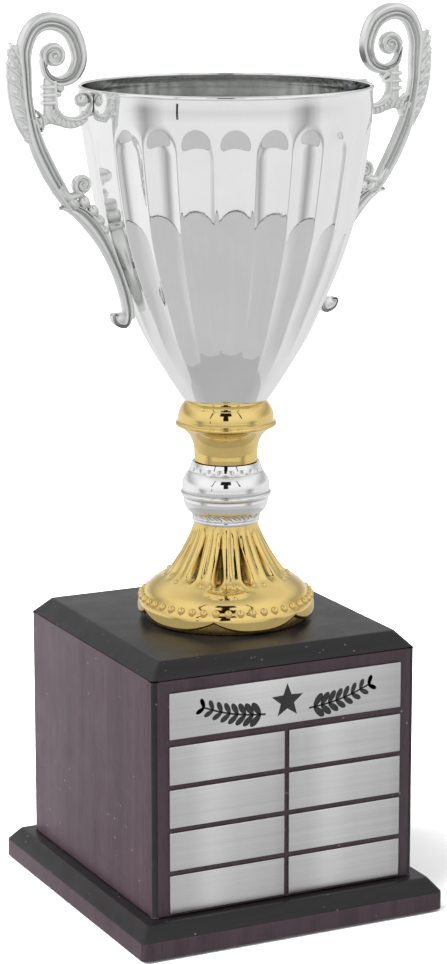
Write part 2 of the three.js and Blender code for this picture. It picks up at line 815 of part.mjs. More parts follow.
const root = new THREE.Group();
const base = new THREE.Group();
base.position.x = BLOCK_SHIFT_X;
base.add(buildFelt(), buildPlinth(), ...buildWalls(), buildTopBoard(), ...buildWoodScrews());
base.add(...buildPlates());
root.add(base);
const cup = new THREE.Group();
cup.position.y = CUP_SHIFT_Y;
cup.add(buildFoot(), buildKnop(), buildCollar(), buildCup(), ...buildHandles());
cup.add(...buildTieRod(), ...buildHandleScrews());
root.add(cup);

export default root;
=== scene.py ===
"""Looks of a two-handled cup trophy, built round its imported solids.

A fluted silver cup stands on a gold and silver stem, on a dark wooden block with engraving plates.
Everything is in metres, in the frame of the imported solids: +Z up, -Y is the side with the plates.
"""

import logging
import math
from collections.abc import Callable, Sequence
from dataclasses import dataclass, field
from enum import Enum
from typing import ClassVar

import bmesh
import bpy
import numpy as np
from bmesh.types import BMEdge, BMesh, BMVert
from bpy.types import Material, Mesh, Node, NodeSocket, NodeTree, Object
from mathutils import Matrix, Vector


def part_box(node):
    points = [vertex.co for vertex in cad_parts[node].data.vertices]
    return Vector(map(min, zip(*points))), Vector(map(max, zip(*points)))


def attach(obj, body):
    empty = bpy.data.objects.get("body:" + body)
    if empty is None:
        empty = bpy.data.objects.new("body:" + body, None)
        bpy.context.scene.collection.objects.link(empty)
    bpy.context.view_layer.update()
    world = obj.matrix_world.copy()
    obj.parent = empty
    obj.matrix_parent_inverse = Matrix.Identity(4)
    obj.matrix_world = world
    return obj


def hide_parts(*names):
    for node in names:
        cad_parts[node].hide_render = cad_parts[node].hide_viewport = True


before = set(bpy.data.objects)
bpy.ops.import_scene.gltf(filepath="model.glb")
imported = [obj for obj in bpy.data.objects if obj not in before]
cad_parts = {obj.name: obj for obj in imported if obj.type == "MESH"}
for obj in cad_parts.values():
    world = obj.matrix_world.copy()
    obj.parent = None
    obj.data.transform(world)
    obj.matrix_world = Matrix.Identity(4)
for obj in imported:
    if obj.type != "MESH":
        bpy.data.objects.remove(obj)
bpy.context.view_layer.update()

LOG = logging.getLogger("cup_trophy")
MM = 0.001
FULL_TURN = 2 * math.pi
BODY = "root"
TINY = 1e-6
ROD_HOLE = 3.3  # radius of the hole for the rod, in millimetres

Colour = tuple[float, float, float]
Line = Sequence[Sequence[float]]
Groups = dict[str, NodeTree]
Shaping = Callable[[np.ndarray, np.ndarray, np.ndarray], np.ndarray]


class Slot(Enum):
    """Material slots of the record."""

    FELT = "felt"
    ROSEWOOD = "rosewood"
    LACQUER = "black_lacquer"
    GOLD = "gold_plate"
    SILVER = "bright_silver"
    CAST = "cast_silver"
    PLATE = "engraving_plate"


# ---------------------------------------------------------------- shaping helpers


def middle(node: str) -> Vector:
    """The middle of a CAD node's box."""
    low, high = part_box(node)
    return (low + high) / 2


def smoothstep(low: float, high: float, value: float | np.ndarray) -> float | np.ndarray:
    """Eases from 0 to 1 as a value, or each of an array, goes from one limit to another."""
    share = np.clip((value - low) / (high - low), 0.0, 1.0)
    return share * share * (3 - 2 * share)


def within(value: np.ndarray, rise: tuple[float, float], fall: tuple[float, float]) -> np.ndarray:
    """Eases from 0 to 1 over the first pair of limits, and back to 0 over the second."""
    return smoothstep(*rise, value) * (1 - smoothstep(*fall, value))


def flowing(points: Line, steps: int) -> list[Vector]:
    """A smooth line through every point, in even steps between each pair.

    Args:
        points: Points of two or three numbers.
        steps: Pieces that each span is cut into.

    Returns:
        The points of the line, the given ones among them.
    """
    knots = [Vector(p) for p in points]
    knots = [2 * knots[0] - knots[1], *knots, 2 * knots[-1] - knots[-2]]
    line = []
    for a, b, c, d in zip(knots, knots[1:], knots[2:], knots[3:]):
        for i in range(steps):
            t = i / steps
            line.append(
                0.5 * (2 * b + (c - a) * t + (2 * a - 5 * b + 4 * c - d) * t**2 + (3 * b - a - 3 * c + d) * t**3)
            )
    line.append(knots[-2])
    return line


def even(line: Sequence[Vector], step: float) -> list[Vector]:
    """The same line with its points at even distances of about the given step."""
    lengths = np.concatenate([[0], np.cumsum([(b - a).length for a, b in zip(line, line[1:])])])
    count = max(2, round(lengths[-1] / step))
    places = np.linspace(0, lengths[-1], count + 1)
    axes = [np.interp(places, lengths, [p[k] for p in line]) for k in range(len(line[0]))]
    return [Vector(p) for p in zip(*axes)]


def spun(profile: Line, centre: Vector, steps: int) -> BMesh:
    """A closed outline turned once round a vertical axis.

    Args:
        profile: The outline's points as (radius, height), in millimetres.
        centre: A point on the axis, in metres. Heights are above the floor.
        steps: Facets round the axis.

    Returns:
        The turned body, facing out.
    """
    bm = bmesh.new()
    foot = Vector((centre.x, centre.y, 0))
    rim = [bm.verts.new(foot + Vector((r, 0, z)) * MM) for r, z in profile]
    edges = [bm.edges.new(pair) for pair in zip(rim, rim[1:] + rim[:1])]
    bmesh.ops.spin(bm, geom=rim + edges, cent=foot, axis=(0, 0, 1), angle=FULL_TURN, steps=steps, use_merge=True)
    bmesh.ops.remove_doubles(bm, verts=bm.verts, dist=1e-7)
    bmesh.ops.recalc_face_normals(bm, faces=bm.faces)
    return bm


def pushed(bm: BMesh, centre: Vector, move: Shaping, lift: Shaping | None = None) -> None:
    """Moves every point of a turned body in or out, and up.

    Args:
        bm: The body.
        centre: A point on its axis.
        move: Takes the angles, radii and heights of all points (radians and millimetres) and gives how
            far each moves outwards, in millimetres.
        lift: The same for how far each moves up, if any does.
    """
    place = np.array([v.co for v in bm.verts])
    x, y = place[:, 0] - centre.x, place[:, 1] - centre.y
    radius = np.hypot(x, y)
    asked = (np.arctan2(y, x), radius / MM, place[:, 2] / MM)
    out = move(*asked) * MM
    up = lift(*asked) * MM if lift else np.zeros(len(place))
    scale = np.where(radius > TINY, (radius + out) / np.maximum(radius, TINY), 1)
    for v, px, py, s, rise in zip(bm.verts, x, y, scale, up):
        v.co.x, v.co.y, v.co.z = centre.x + px * s, centre.y + py * s, v.co.z + rise


def block(low: Vector, high: Vector) -> BMesh:
    """A plain box between two corners, ready to be shaped."""
    bm = bmesh.new()
    bmesh.ops.create_cube(bm, size=1)
    bmesh.ops.scale(bm, vec=high - low, verts=bm.verts)
    bmesh.ops.translate(bm, vec=(low + high) / 2, verts=bm.verts)
    return bm


def upright(edge: BMEdge) -> bool:
    """True for an edge that runs straight up."""
    along = edge.verts[0].co - edge.verts[1].co
    return abs(along.z) > 0.999 * along.length


def rounded(bm: BMesh, edges: Sequence[BMEdge], size: float, segments: int) -> None:
    """Rounds some edges of a body. The size is in metres."""
    bmesh.ops.bevel(
        bm, geom=list(edges), offset=size, segments=segments, profile=0.5, affect="EDGES", material=-1, clamp_overlap=True
    )


def joined(bm: BMesh, other: BMesh) -> None:
    """Adds another body's faces to this one and frees the other."""
    loose = bpy.data.meshes.new("loose")
    other.to_mesh(loose)
    other.free()
    bm.from_mesh(loose)
    bpy.data.meshes.remove(loose)


def added_ball(bm: BMesh, place: Matrix, rings: int, around: int) -> None:
    """Adds a ball of radius 1 with some rings and facets, sized and put in place by a matrix."""
    bmesh.ops.create_uvsphere(bm, u_segments=around, v_segments=rings, radius=1, matrix=place)


def new_object(name: str, bm: BMesh, materials: Sequence[Material]) -> Object:
    """Puts a finished body in the scene as an object at the origin, and frees the body."""
    mesh = bpy.data.meshes.new(name)
    bm.to_mesh(mesh)
    bm.free()
    for material in materials:
        mesh.materials.append(material)
    made = bpy.data.objects.new(name, mesh)
    bpy.context.scene.collection.objects.link(made)
    return made


def piece(
    name: str, bm: BMesh, materials: Sequence[Material], stands_for: Sequence[str] = (), sharp: float = 40
) -> Object:
    """Turns a finished body into a piece of the trophy.

    Args:
        name: The piece's name.
        bm: Its body, in place. It is freed.
        materials: Its materials, in the order of the faces' indices.
        stands_for: The CAD nodes that it takes the place of.
        sharp: Edges that turn by more than this many degrees stay crisp.

    Returns:
        The new object, riding on the trophy.
    """
    made = new_object(name, bm, materials)
    made.data.shade_smooth()
    made.data.set_sharp_from_angle(angle=math.radians(sharp))
    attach(made, BODY)
    if stands_for:
        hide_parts(*stands_for)
    LOG.info("%s: %d faces", name, len(made.data.polygons))
    return made


def vertex_vectors(mesh: Mesh, what: str) -> np.ndarray:
    """The place or the normal of every vertex, one to a row."""
    values = np.zeros(len(mesh.vertices) * 3)
    mesh.vertices.foreach_get(what, values)
    return values.reshape(-1, 3)


def mark_relief(thing: Object, gain: float, rounds: int = 3) -> None:
    """Stores how hollow or raised each point is, as the attributes 'recess' and 'edge' from 0 to 1. The relief finishes
    paint shade into the hollows by 'recess'.

    Args:
        thing: The piece, whose mesh gets the attributes.
        gain: How strongly a hollow counts.
        rounds: How often the values are spread to their neighbours.
    """
    mesh = thing.data
    place, out = vertex_vectors(mesh, "co"), vertex_vectors(mesh, "normal")
    ends = np.zeros(len(mesh.edges) * 2, int)
    mesh.edges.foreach_get("vertices", ends)
    a, b = ends[0::2], ends[1::2]
    along = place[b] - place[a]
    length = np.linalg.norm(along, axis=1) + 1e-9
    bend, near = np.zeros(len(place)), np.zeros(len(place))
    for end, way in ((a, along), (b, -along)):
        np.add.at(bend, end, np.einsum("ij,ij->i", way, out[end]) / length)
        np.add.at(near, end, 1)
    bend /= np.maximum(near, 1)
    for _ in range(rounds):
        total = bend.copy()
        np.add.at(total, a, bend[b])
        np.add.at(total, b, bend[a])
        bend = total / (near + 1)
    for name, values in (("recess", bend), ("edge", -bend)):
        store = mesh.attributes.new(name, "FLOAT", "POINT")
        store.data.foreach_set("value", np.clip(values * gain, 0, 1).astype(np.float32))


# ---------------------------------------------------------------- node helpers


def rgba(red: float, green: float, blue: float) -> tuple[float, float, float, float]:
    """An opaque linear colour."""
    return (red, green, blue, 1.0)


class Graph:
    """A node tree that is written node by node."""

    def __init__(self, tree: NodeTree) -> None:
        """Starts with the tree's nodes cleared."""
        self.tree = tree
        tree.nodes.clear()

    def put(self, value: object, socket: NodeSocket) -> None:
        """Links an output to an input socket, or sets the socket's value."""
        if isinstance(value, NodeSocket):
            self.tree.links.new(value, socket)
        else:
            socket.default_value = value

    def add(self, kind: str, inputs: dict | None = None, **settings: object) -> Node:
        """Adds a node.

        Args:
            kind: The node's type without the leading ShaderNode.
            inputs: Socket names or indices with a value, or an output socket to link from.
            **settings: Properties of the node itself.

        Returns:
            The new node.
        """
        made = self.tree.nodes.new(kind if kind.startswith("NodeGroup") else "ShaderNode" + kind)
        for name, value in settings.items():
            setattr(made, name, value)
        for name, value in (inputs or {}).items():
            self.put(value, made.inputs[name])
        return made

    def place(self) -> NodeSocket:
        """The object's own coordinates."""
        return self.add("TexCoord").outputs["Object"]

    def mapped(self, at: NodeSocket, **mapping: tuple[float, ...]) -> NodeSocket:
        """Coordinates that are stretched or turned."""
        return self.add("Mapping", {"Vector": at, **mapping}).outputs[0]

    def stored(self, name: str) -> NodeSocket:
        """A value that the mesh stores for each point."""
        return self.add("Attribute", attribute_name=name).outputs["Fac"]

    def noise(self, at: NodeSocket, scale: float, detail: float = 3, rough: float = 0.55) -> NodeSocket:
        """A noise value from 0 to 1 at some coordinates."""
        return self.add("TexNoise", {"Vector": at, "Scale": scale, "Detail": detail, "Roughness": rough}).outputs[0]

    def span(self, value: NodeSocket, low: float, high: float, to_low: float = 0, to_high: float = 1) -> NodeSocket:
        """Maps a value from one range to another, clamped."""
        limits = {"From Min": low, "From Max": high, "To Min": to_low, "To Max": to_high}
        return self.add("MapRange", {"Value": value, **limits}).outputs[0]

    def blend(self, share: NodeSocket, a: Colour | NodeSocket, b: Colour | NodeSocket) -> NodeSocket:
        """Mixes two colours by a share."""
        a, b = (c if isinstance(c, NodeSocket) else rgba(*c) for c in (a, b))
        return self.add("Mix", {0: share, 6: a, 7: b}, data_type="RGBA").outputs[2]

    def ramp(self, share: NodeSocket, levels: Line, interpolation: str = "LINEAR") -> NodeSocket:
        """Looks a share up in a list of places and grey levels."""
        node = self.add("ValToRGB", {"Fac": share})
        stops = node.color_ramp.elements
        while len(stops) < len(levels):
            stops.new(0.5)
        for stop, (place, level) in zip(stops, levels):
            stop.position, stop.color = place, rgba(level, level, level)
        node.color_ramp.interpolation = interpolation
        return node.outputs[0]

    def bump(self, height: NodeSocket, depth: float) -> NodeSocket:
        """A bumped normal. The depth is in metres."""
        return self.add("Bump", {"Height": height, "Distance": depth, "Strength": 1.0}).outputs[0]

    def math(self, operation: str, a: float | NodeSocket, b: float | NodeSocket) -> NodeSocket:
        """One sum on two values."""
        return self.add("Math", {0: a, 1: b}, operation=operation).outputs[0]

    def times(self, a: float | NodeSocket, b: float | NodeSocket) -> NodeSocket:
        """The product of two values."""
        return self.math("MULTIPLY", a, b)

    def plus(self, a: float | NodeSocket, b: float | NodeSocket) -> NodeSocket:
        """The sum of two values."""
        return self.math("ADD", a, b)

    def facing(self, at: NodeSocket, direction: Vector) -> NodeSocket:
        """How well the level way to a point agrees with a direction, from -1 to 1."""
        level = self.add("VectorMath", {0: at, 1: (1, 1, 0)}, operation="MULTIPLY").outputs[0]
        away = self.add("VectorMath", {0: level}, operation="NORMALIZE").outputs[0]
        return self.add("VectorMath", {0: away, 1: direction}, operation="DOT_PRODUCT").outputs["Value"]


def group_of(name: str, inputs: dict[str, float | None], outputs: Sequence[str]) -> Graph:
    """Starts a node group with named sockets.

    Args:
        name: The group's name.
        inputs: The default of each input. One without a default takes a vector.
        outputs: The names of its outputs, which are all numbers.

    Returns:
        A graph to write the group with.
    """
    tree = bpy.data.node_groups.new(name, "ShaderNodeTree")
    for label, default in inputs.items():
        kind = "NodeSocketVector" if default is None else "NodeSocketFloat"
        socket = tree.interface.new_socket(label, in_out="INPUT", socket_type=kind)
        if default is not None:
            socket.default_value = default
    for label in outputs:
        tree.interface.new_socket(label, in_out="OUTPUT", socket_type="NodeSocketFloat")
    return Graph(tree)


def handling_group() -> NodeTree:
    """Wipe marks and hairline scratches that a polished metal picks up."""
    g = group_of("handling_marks", {"Base": 0.06, "Spread": 0.05, "Scratch": 0.3}, ["Roughness", "Height"])
    given = g.add("NodeGroupInput").outputs
    at = g.place()
    streak = g.noise(g.mapped(at, Scale=(900, 900, 40), Rotation=(0.35, 0.1, 0.5)), 1.0, 2, 0.4)
    wide = g.plus(g.times(g.noise(at, 38, 4), 0.8), g.times(g.noise(at, 420, 2), 0.2))
    worn = g.times(g.span(wide, 0.35, 0.7), given["Spread"])
    scratch = g.times(g.span(streak, 0.60, 0.72), given["Scratch"])
    rough = g.plus(g.plus(given["Base"], worn), g.times(scratch, 0.08))
    g.add("NodeGroupOutput", {"Roughness": rough, "Height": g.times(scratch, -1.0)})
    return g.tree


def dust_group() -> NodeTree:
    """Tiny pale specks of dust and lacquer nibs."""
    g = group_of("dust_specks", {"Amount": 0.1}, ["Mask"])
    given = g.add("NodeGroupInput").outputs
    at = g.place()
    cells = g.add("TexVoronoi", {"Vector": at, "Scale": 300.0, "Randomness": 1.0})
    dot = g.span(cells.outputs["Distance"], 0.05, 0.16, 1, 0)
    chosen = g.math("GREATER_THAN", g.noise(at, 170, 1), 0.60)
    g.add("NodeGroupOutput", {"Mask": g.times(g.times(dot, chosen), given["Amount"])})
    return g.tree


def grain_group() -> NodeTree:
    """Long wood figure with short open pores, along the grain's own axis."""
    g = group_of("wood_grain", {"Coordinates": None}, ["Figure", "Pores"])
    at = g.add("NodeGroupInput").outputs["Coordinates"]
    long_at = g.mapped(at, Scale=(130, 130, 5))
    bands = g.add("TexNoise", {"Vector": long_at, "Scale": 1.0, "Detail": 5, "Distortion": 0.6}).outputs[0]
    pores = g.span(g.noise(g.mapped(at, Scale=(1500, 1500, 70)), 1.0, 1), 0.56, 0.72)
    figure = g.plus(g.times(bands, 0.75), g.times(g.noise(at, 6, 3), 0.25))
    g.add("NodeGroupOutput", {"Figure": g.span(figure, 0.3, 0.7), "Pores": pores})
    return g.tree


def brushed_group() -> NodeTree:
    """Fine parallel brushing, with streaks of different strength."""
    g = group_of("brushed_lines", {"Coordinates": None}, ["Lines", "Streaks"])
    at = g.add("NodeGroupInput").outputs["Coordinates"]
    lines = g.noise(g.mapped(at, Scale=(25, 25, 5200)), 1.0, 2, 0.6)
    streaks = g.span(g.noise(g.mapped(at, Scale=(9, 9, 900)), 1.0, 3), 0.3, 0.7)
    g.add("NodeGroupOutput", {"Lines": lines, "Streaks": streaks})
    return g.tree


# ---------------------------------------------------------------- finishes


def new_material(name: str, metallic: float) -> tuple[Material, Graph, Node]:
    """Starts a material with one Principled shader.

    Args:
        name: The material's name.
        metallic: The shader's metallic value.

    Returns:
        The material, its graph and its shader node.
    """
    material = bpy.data.materials.new(name)
    material.use_nodes = True
    g = Graph(material.node_tree)
    shader = g.add("BsdfPrincipled", {"Metallic": metallic})
    g.add("OutputMaterial", {"Surface": shader.outputs[0]})
    return material, g, shader


@dataclass(frozen=True)
class Finish:
    """A material with one Principled shader."""

    metallic: ClassVar[float] = 0.0
    name: str

    def build(self, groups: Groups) -> Material:
        """Writes the material with the shared node groups."""
        material, g, shader = new_material(self.name, self.metallic)
        for socket, value in self.sockets(g, groups).items():
            g.put(value, shader.inputs[socket])
        return material

    def sockets(self, g: Graph, groups: Groups) -> dict[str, object]:
        """What goes into each of the shader's sockets: a value, or a node's output."""
        raise NotImplementedError


@dataclass(frozen=True)
class PolishedMetal(Finish):
    """A plated metal, from mirror bright to a soft cast finish."""

    metallic: ClassVar[float] = 1.0
    bright: Colour
    dull: Colour
    # Colour of the painted shade in the hollows of a relief.
    recess: Colour
    roughness: float
    spread: float
    scratch: float
    relief: bool = False
    pitting: float = 0.0

    def sockets(self, g: Graph, groups: Groups) -> dict[str, object]:
        """Wipe marks and scratches, with painted shade in the hollows of a relief."""
        given = {"Base": self.roughness, "Spread": self.spread, "Scratch": self.scratch}
        marks = g.add("Group", given, node_tree=groups["handling"]).outputs
        at = g.place()
        colour = g.blend(g.span(g.noise(at, 55, 3), 0.35, 0.65), self.bright, self.dull)
        rough, height = marks["Roughness"], marks["Height"]
        if self.relief:
            # Painted shade: the 'recess' attribute darkens the hollows towards the recess colour, standing in for the
            # shade that falls there.
            hollow_shade = g.times(g.stored("recess"), g.span(g.noise(at, 600, 3), 0.2, 0.8, 0.75, 1.0))
            colour = g.blend(hollow_shade, colour, self.recess)
            rough = g.plus(rough, g.times(hollow_shade, 0.25))
            rough = g.math("SUBTRACT", rough, g.times(g.stored("edge"), self.roughness * 0.4))
        if self.pitting:
            height = g.plus(height, g.times(g.noise(at, 1400, 4), self.pitting))
        return {"Base Color": colour, "Roughness": rough, "Normal": g.bump(height, 0.00002)}


@dataclass(frozen=True)
class LacqueredWood(Finish):
    """Dark wood or board under a satin lacquer."""

    dark: Colour
    light: Colour
    roughness: float
    coat: float
    specks: float
    gloss: float = 0.5
    grain_turn: tuple[float, float, float] = (0.0, 0.0, 0.0)

    def sockets(self, g: Graph, groups: Groups) -> dict[str, object]:
        """Figure, pores and dust under a coat with a little orange peel."""
        at = g.place()
        turned = g.mapped(at, Rotation=self.grain_turn)
        grain = g.add("Group", {"Coordinates": turned}, node_tree=groups["grain"]).outputs
        dust = g.add("Group", {"Amount": self.specks}, node_tree=groups["dust"]).outputs["Mask"]
        colour = g.blend(grain["Figure"], self.dark, self.light)
        colour = g.blend(g.times(grain["Pores"], 0.5), colour, (0.004, 0.003, 0.003))
        peel = g.plus(g.times(g.noise(at, 420, 2), 0.6), g.times(grain["Pores"], -0.4))
        return {
            "Base Color": g.blend(dust, colour, (0.30, 0.28, 0.28)),
            "Roughness": g.span(g.noise(at, 60, 4), 0.3, 0.7, self.roughness - 0.04, self.roughness + 0.05),
            "Normal": g.bump(peel, 0.00003),
            "Coat Weight": self.coat,
            "Coat Roughness": 0.22,
            "Specular IOR Level": self.gloss,
        }


@dataclass(frozen=True)
class BrushedPlate(Finish):
    """Thin engraving plate of brushed metal, with a painted highlight band."""

    metallic: ClassVar[float] = 1.0
    bright: Colour = (0.97, 0.97, 0.97)
    dull: Colour = (0.55, 0.55, 0.56)
    roughness: float = 0.36
    painted_highlight: tuple[tuple[float, float], ...] = (
        (0.0, 0.45), (0.14, 0.55), (0.36, 1.0), (0.62, 0.62), (0.86, 0.42), (1.0, 0.15),
    )

    def sockets(self, g: Graph, groups: Groups) -> dict[str, object]:
        """Fine lines along the plate, with a painted highlight band across it."""
        brush = g.add("Group", {"Coordinates": g.place()}, node_tree=groups["brushed"]).outputs
        # Painted highlight: a bright band at about a third of each plate's width, set by the 'across' attribute.
        band = g.ramp(g.stored("across"), self.painted_highlight, "EASE")
        share = g.plus(g.times(band, 0.82), g.times(brush["Streaks"], 0.18))
        return {
            "Base Color": g.blend(share, self.dull, self.bright),
            "Roughness": g.span(brush["Lines"], 0.25, 0.75, self.roughness - 0.07, self.roughness + 0.09),
            "Normal": g.bump(brush["Lines"], 0.000012),
            "Anisotropic": 0.5,
        }


@dataclass(frozen=True)
class Felt(Finish):
    """Dark wool felt with a short nap."""

    dark: Colour = (0.006, 0.007, 0.008)
    light: Colour = (0.022, 0.024, 0.026)

    def sockets(self, g: Graph, groups: Groups) -> dict[str, object]:
        """A fine nap with a little dust."""
        nap = g.noise(g.place(), 2600, 5, 0.7)
        colour = g.blend(g.span(nap, 0.3, 0.7), self.dark, self.light)
        dust = g.add("Group", {}, node_tree=groups["dust"]).outputs["Mask"]
        return {
            "Base Color": g.blend(dust, colour, (0.2, 0.2, 0.2)),
            "Roughness": g.span(nap, 0, 1, 0.85, 1.0),
            "Normal": g.bump(nap, 0.0002),
            "Sheen Weight": 0.3,
        }


class Finishes:
    """Every finish of the trophy, built once."""

    def __init__(self) -> None:
        """Builds the shared node groups and then each material."""
        groups = {
            "handling": handling_group(), "dust": dust_group(), "grain": grain_group(), "brushed": brushed_group(),
        }

        def metal(name: str, bright: Colour, dull: Colour, recess: Colour, *rest: float, **more: object) -> Material:
            return PolishedMetal(name, bright, dull, recess, *rest, **more).build(groups)

        # The fourth colour of each metal is the painted shade for the hollows of a relief; only the relief finishes use
        # it.
        self.silver = metal("mirror_silver", (0.93, 0.935, 0.93), (0.90, 0.905, 0.90), (0.2, 0.2, 0.2), 0.025, 0.02, 0.2)
        # Painted shade: a darker, rougher copy of the cup's silver for its inside, standing in for the shade within the
        # bowl.
        self.inside_shade = metal("cup_inside_shaded", (0.72, 0.73, 0.72), (0.52, 0.53, 0.52), (0.1, 0.1, 0.1), 0.08, 0.08, 0.5)
        self.relief_silver = metal(
            "embossed_silver", (0.92, 0.925, 0.92), (0.88, 0.885, 0.88), (0.03, 0.03, 0.035), 0.05, 0.03, 0.2, relief=True
        )
        self.cast = metal(
            "cast_silver", (0.88, 0.89, 0.88), (0.80, 0.81, 0.80), (0.15, 0.155, 0.15), 0.30, 0.06, 0.3,
            relief=True, pitting=0.3,
        )
        self.gold = metal(
            "gold_plate", (0.86, 0.65, 0.25), (0.82, 0.60, 0.22), (0.03, 0.016, 0.004), 0.06, 0.03, 0.2, relief=True
        )
        self.steel = metal(
            "zinc_steel", (0.36, 0.37, 0.38), (0.28, 0.29, 0.30), (0.05, 0.05, 0.05), 0.38, 0.15, 1.0, pitting=0.6
        )
        self.rosewood = LacqueredWood(
            "rosewood", (0.0155, 0.0075, 0.0112), (0.0310, 0.0160, 0.0232), 0.42, 0.15, 0.4, 0.4
        ).build(groups)
        self.lacquer = LacqueredWood(
            "black_lacquer", (0.005, 0.0046, 0.005), (0.009, 0.0082, 0.009), 0.38, 0.12, 0.25, 0.22,
            (0.0, math.radians(90), 0.0),
        ).build(groups)
        self.engraved = LacqueredWood(
            "engraving_fill", (0.004, 0.004, 0.004), (0.010, 0.010, 0.010), 0.4, 0.2, 0.1
        ).build(groups)
        self.plate = BrushedPlate("brushed_plate").build(groups)
        self.felt = Felt("wool_felt").build(groups)


# ---------------------------------------------------------------- studio


@dataclass
class Studio:
    """Pale floor, soft light and what the bright metal mirrors."""

    floor_size: float = 60.0
    floor_colour: Colour = (0.94, 0.94, 0.94)
    table_reach: float = 0.66
    table_grey: float = 0.56
    side_grey: float = 0.78
    line_width: float = 0.010
    sheet_gap: float = 0.002
    panel_reach: float = 1.6
    panel_base: float = 0.24
    lens_position: Vector = field(default_factory=lambda: Vector((-0.5652, -1.1514, 0.4710)))
    lens_target: Vector = field(default_factory=lambda: Vector((-0.0002, -0.0010, 0.1883)))
    focal_length: float = 110.3
    sensor: float = 36.0
    lens_side: tuple[tuple[float, float], ...] = (
        (0.0, 0.78), (0.40, 0.84), (0.47, 0.72), (0.53, 0.80), (0.62, 0.92), (0.76, 1.0), (0.88, 0.98), (0.95, 0.75),
        (1.0, 0.50),
    )
    far_side: tuple[tuple[float, float], ...] = (
        (0.0, 0.76), (0.47, 0.82), (0.52, 0.84), (0.57, 0.62), (0.65, 0.48), (0.80, 0.88), (0.92, 0.80), (1.0, 0.50),
    )

    def build(self) -> None:
        """Makes the camera, lights, floor and mirrored surroundings."""
        self.camera()
        self.floor()
        self.surroundings()
        self.mirrored_table()
        self.dark_stand()
        self.lamps()
        bpy.context.scene.view_settings.view_transform = "Standard"

    def camera(self) -> None:
        """Sets up the camera."""
        data = bpy.data.cameras.new("camera")
        data.lens, data.sensor_width = self.focal_length, self.sensor
        made = bpy.data.objects.new("camera", data)
        made.location = self.lens_position
        made.rotation_euler = (self.lens_target - self.lens_position).to_track_quat("-Z", "Y").to_euler()
        bpy.context.scene.collection.objects.link(made)
        bpy.context.scene.camera = made

    def front(self) -> Vector:
        """The level direction from the trophy to the lens."""
        away = self.lens_position - self.lens_target
        return Vector((away.x, away.y, 0)).normalized()

    def staged(self, name: str, bm: BMesh, material: Material, mirrored_only: bool = True) -> None:
        """Adds a stage piece, which shows either in reflections alone or everywhere but in them."""
        made = new_object(name, bm, [material])
        if mirrored_only:
            made.visible_camera = False
            made.visible_diffuse = False
            made.visible_shadow = False
            made.visible_transmission = False
        else:
            made.visible_glossy = False

    def glow(self, name: str, near: float, side: float, from_above: bool = False) -> Material:
        """A soft glow that differs between the lens's side and the other sides of the trophy.

        Args:
            name: The material's name.
            near: Its strength on the lens's side.
            side: Its strength elsewhere.
            from_above: True if it can't be seen from below.

        Returns:
            The material.
        """
        material = bpy.data.materials.new(name)
        material.use_nodes = True
        g = Graph(material.node_tree)
        at = g.place()
        share = g.plus(
            g.span(g.facing(at, self.front()), -0.55, 0.35), g.span(g.noise(at, 7, 3), 0.3, 0.7, -0.08, 0.08)
        )
        light = g.add("Emission", {"Color": rgba(1, 1, 1), "Strength": g.span(share, 0, 1, side, near)}).outputs[0]
        if from_above:
            hidden = g.add("NewGeometry").outputs["Backfacing"]
            light = g.add("MixShader", {0: hidden, 1: light, 2: g.add("BsdfTransparent").outputs[0]}).outputs[0]
        g.add("OutputMaterial", {"Surface": light})
        return material

    def floor(self) -> None:
        """A pale matt floor."""
        bm = bmesh.new()
        bmesh.ops.create_grid(bm, x_segments=1, y_segments=1, size=self.floor_size / 2)
        material, g, shader = new_material("pale_floor", metallic=0.0)
        tone = g.span(g.noise(g.place(), 3, 2), 0.3, 0.7)
        colour = g.blend(tone, self.floor_colour, tuple(c * 0.99 for c in self.floor_colour))
        for socket, value in (("Base Color", colour), ("Roughness", 0.9), ("Specular IOR Level", 0.1)):
            g.put(value, shader.inputs[socket])
        self.staged("floor", bm, material, mirrored_only=False)

    def surroundings(self) -> None:
        """A bright room: dim overhead and behind, grey to both sides of the lens, white low at the left back."""
        world = bpy.data.worlds.new("studio")
        bpy.context.scene.world = world
        world.use_nodes = True
        g = Graph(world.node_tree)
        at = g.add("TexCoord").outputs["Generated"]
        height = g.add("SeparateXYZ", {0: at}).outputs[2]
        rise = g.span(height, -1, 1)
        share = g.span(g.facing(at, self.front()), -0.35, 0.25)
        colour = g.blend(share, g.ramp(rise, self.far_side), g.ramp(rise, self.lens_side))
        apart = g.math("ABSOLUTE", g.math("SUBTRACT", g.facing(at, self.front()), 0.42), 0.0)
        beside = g.math("SUBTRACT", 1.0, g.times(apart, 4.0))
        low = g.span(height, 0.0, 0.12, 1, 0)
        grey = g.times(g.times(g.span(beside, 0, 1), low), 0.62)
        colour = g.blend(grey, colour, (0.12, 0.12, 0.12))
        left_back = g.span(g.facing(at, Vector((-0.62, 0.78, 0))), 0.70, 0.95)
        colour = g.blend(g.times(left_back, g.span(height, 0.02, 0.25, 1, 0)), colour, (0.92, 0.92, 0.92))
        path = g.add("LightPath").outputs
        colour = g.blend(path["Is Camera Ray"], colour, (1.0, 1.0, 1.0))
        strength = g.plus(1.0, g.times(path["Is Diffuse Ray"], 0.40))
        back = g.add("Background", {"Color": colour, "Strength": strength})
        g.add("OutputWorld", {"Surface": back.outputs[0]})

